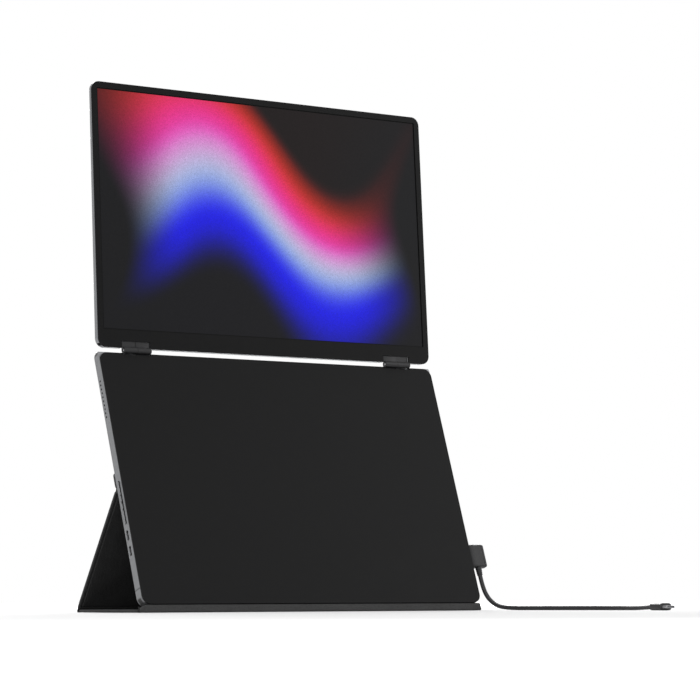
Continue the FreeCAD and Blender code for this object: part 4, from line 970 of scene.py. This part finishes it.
class EXTENDER_OT_sound_cloth(Operator):
    """Stretch a strip of dark cloth behind each row of sound holes"""
    bl_idname = "extender.sound_cloth"
    bl_label = "Sound Cloth"

    def execute(self, context):
        for name, side in (("sound_cloth_left", -1), ("sound_cloth_right", 1)):
            inset = np.array([0.05, 0.0, 0.0, 0.05]) * MM
            reach = np.array([175.86, 175.88, 175.92, 175.94]) * MM
            line = rounded_outline(CLOTH_UP, CLOTH_OUT, 1.2 * MM, inset)
            points, faces = loft(LOWER.place(side * reach[:, None], line[..., 0], line[..., 1]))
            add_piece(name, points, faces, "sound_cloth", "speaker_plastic")
        return {"FINISHED"}


# ---------------------------------------------------------------- studio

CAMERA_PLACE = (-1.38240, -2.10434, 0.01010)
CAMERA_YAW, CAMERA_PITCH, CAMERA_ROLL = 0.605072, 0.088554, -0.004150
BODY_MIDDLE = (0.0, 0.0, 0.22)
LAMPS = (
    ("key", (-1.7, -1.9, 1.3), BODY_MIDDLE, 1.6),
    ("fill", (2.1, -1.3, 1.0), BODY_MIDDLE, 1.6),
    ("top", (-0.2, 0.3, 2.5), BODY_MIDDLE, 1.8),
    ("side", (-1.5, -0.5, 0.3), (0.0, 0.0, 0.06), 0.5),
    ("back", (1.1, 2.0, 1.15), BODY_MIDDLE, 1.4),
)
FLOOR_HALF, FLOOR_CELLS = 8.0, 8
FLOOR_DROP = 0.0002
FADE_LENGTH = 0.9


def seen_plainly(nodes):
    """1 for rays that come straight from the camera, off a mirror or through glass."""
    path = nodes.add("ShaderNodeLightPath").outputs
    return nodes.math("MAXIMUM", path["Is Camera Ray"],
                      nodes.math("MAXIMUM", path["Is Glossy Ray"], path["Is Transmission Ray"]))


def area_lamp(name, place, target, width, power):
    lamp = bpy.data.lights.new(name, "AREA")
    lamp.shape = "SQUARE"
    lamp.size = width
    lamp.energy = power
    holder = bpy.data.objects.new(name, lamp)
    bpy.context.scene.collection.objects.link(holder)
    holder.location = place
    holder.rotation_euler = (Vector(target) - Vector(place)).to_track_quat("-Z", "Y").to_euler()


class EXTENDER_OT_stage(Operator):
    """Set up the pale floor, the white surroundings, the lamps and the camera"""
    bl_idname = "extender.stage"
    bl_label = "Studio"

    def execute(self, context):
        scene, studio = context.scene, context.scene.extender_studio
        nodes, shader = start_material("floor")
        tree = nodes.tree
        soft = nodes.add("ShaderNodeTexNoise", {"Vector": nodes.place(), "Scale": 40.0})
        base = nodes.blend(soft.outputs["Fac"], opaque(studio.floor_colour, 0.99),
                           opaque(studio.floor_colour, 1.01))
        set_shader(nodes, shader, {"Roughness": 0.9, "Specular IOR Level": 0.0}, {"Base Color": base})
        away = nodes.add("ShaderNodeVectorMath", {0: nodes.place()}, operation="LENGTH").outputs["Value"]
        glow = nodes.span(away, studio.white_from, studio.white_from + FADE_LENGTH, 0.14, 1.0, smooth=True)
        lift = nodes.add("ShaderNodeEmission", {"Color": (1, 1, 1, 1), "Strength": glow})
        both = nodes.add("ShaderNodeAddShader", {0: shader.outputs[0], 1: lift.outputs[0]})
        choose = nodes.add("ShaderNodeMixShader",
                           {0: seen_plainly(nodes), 1: shader.outputs[0], 2: both.outputs[0]})
        tree.links.new(choose.outputs[0], tree.nodes["Material Output"].inputs[0])
        side = FLOOR_CELLS + 1
        grid = np.linspace(-FLOOR_HALF, FLOOR_HALF, side)
        x, y = np.meshgrid(grid, grid, indexing="ij")
        points = np.stack([x, y, np.full_like(x, -FLOOR_DROP)], axis=-1).reshape(-1, 3)
        first, item = np.meshgrid(np.arange(FLOOR_CELLS), np.arange(FLOOR_CELLS), indexing="ij")
        corner = (first * side + item).ravel()
        cells = np.stack([corner, corner + side, corner + side + 1, corner + 1], axis=-1)
        mesh = bpy.data.meshes.new("floor")
        mesh.from_pydata(points.tolist(), [], cells.tolist())
        mesh.materials.append(finish("floor"))
        floor = bpy.data.objects.new("floor", mesh)
        scene.collection.objects.link(floor)

        world = bpy.data.worlds.new("surroundings")
        scene.world = world
        world.use_nodes = True
        sky = Nodes(world.node_tree)
        ground = world.node_tree.nodes["Background"]
        ground.inputs["Color"].default_value = (1, 1, 1, 1)
        ground.inputs["Strength"].default_value = studio.sky
        white = sky.add("ShaderNodeBackground", {"Color": (1, 1, 1, 1), "Strength": 1.0})
        mixed = sky.add("ShaderNodeMixShader",
                        {0: seen_plainly(sky), 1: ground.outputs[0], 2: white.outputs[0]})
        world.node_tree.links.new(mixed.outputs[0], world.node_tree.nodes["World Output"].inputs[0])

        for name, place, target, width in LAMPS:
            area_lamp(f"{name}_lamp", place, target, width, getattr(studio, f"{name}_power"))

        lens = bpy.data.cameras.new("camera")
        lens.sensor_fit = "HORIZONTAL"
        lens.sensor_width = 36.0
        lens.lens = studio.lens
        lens.clip_start, lens.clip_end = 0.05, 50.0
        camera = bpy.data.objects.new("camera", lens)
        scene.collection.objects.link(camera)
        roll = Matrix.Rotation(CAMERA_ROLL, 3, "Z")
        turn = Euler((math.pi / 2 + CAMERA_PITCH, 0.0, -CAMERA_YAW)).to_matrix() @ roll
        camera.location = CAMERA_PLACE
        camera.rotation_euler = turn.to_euler()
        scene.camera = camera
        scene.view_settings.view_transform = "Standard"
        return {"FINISHED"}


# ---------------------------------------------------------------- panel and start

class EXTENDER_PT_panel(Panel):
    bl_idname = "EXTENDER_PT_panel"
    bl_label = "Screen Extender"
    bl_space_type = "VIEW_3D"
    bl_region_type = "UI"
    bl_category = "Extender"

    def draw(self, context):
        layout = self.layout
        for label, group in SETTINGS.items():
            box = layout.box()
            box.label(text=label)
            settings = getattr(context.scene, f"extender_{label.lower()}")
            for name in group.__annotations__:
                box.prop(settings, name)
        for operator in OPERATORS:
            layout.operator(operator.bl_idname)


SETTINGS = {"Body": BodySettings, "Cover": CoverSettings, "Picture": PictureSettings, "Lead": LeadSettings,
            "Studio": StudioSettings}
OPERATORS = (EXTENDER_OT_finishes, EXTENDER_OT_plugs, EXTENDER_OT_lead, EXTENDER_OT_cover_panels,
             EXTENDER_OT_fold_skins, EXTENDER_OT_foot, EXTENDER_OT_keys, EXTENDER_OT_hinge_covers,
             EXTENDER_OT_ports, EXTENDER_OT_sound_cloth, EXTENDER_OT_stage)


def register():
    for label, group in SETTINGS.items():
        bpy.utils.register_class(group)
        setattr(bpy.types.Scene, f"extender_{label.lower()}", PointerProperty(type=group))
    for operator in OPERATORS:
        bpy.utils.register_class(operator)
    bpy.utils.register_class(EXTENDER_PT_panel)


def unregister():
    bpy.utils.unregister_class(EXTENDER_PT_panel)
    for operator in reversed(OPERATORS):
        bpy.utils.unregister_class(operator)
    for label, group in reversed(SETTINGS.items()):
        delattr(bpy.types.Scene, f"extender_{label.lower()}")
        bpy.utils.unregister_class(group)


def main():
    register()
    for operator in OPERATORS:
        group, name = operator.bl_idname.split(".")
        getattr(getattr(bpy.ops, group), name)()


if __name__ == "__main__":
    main()
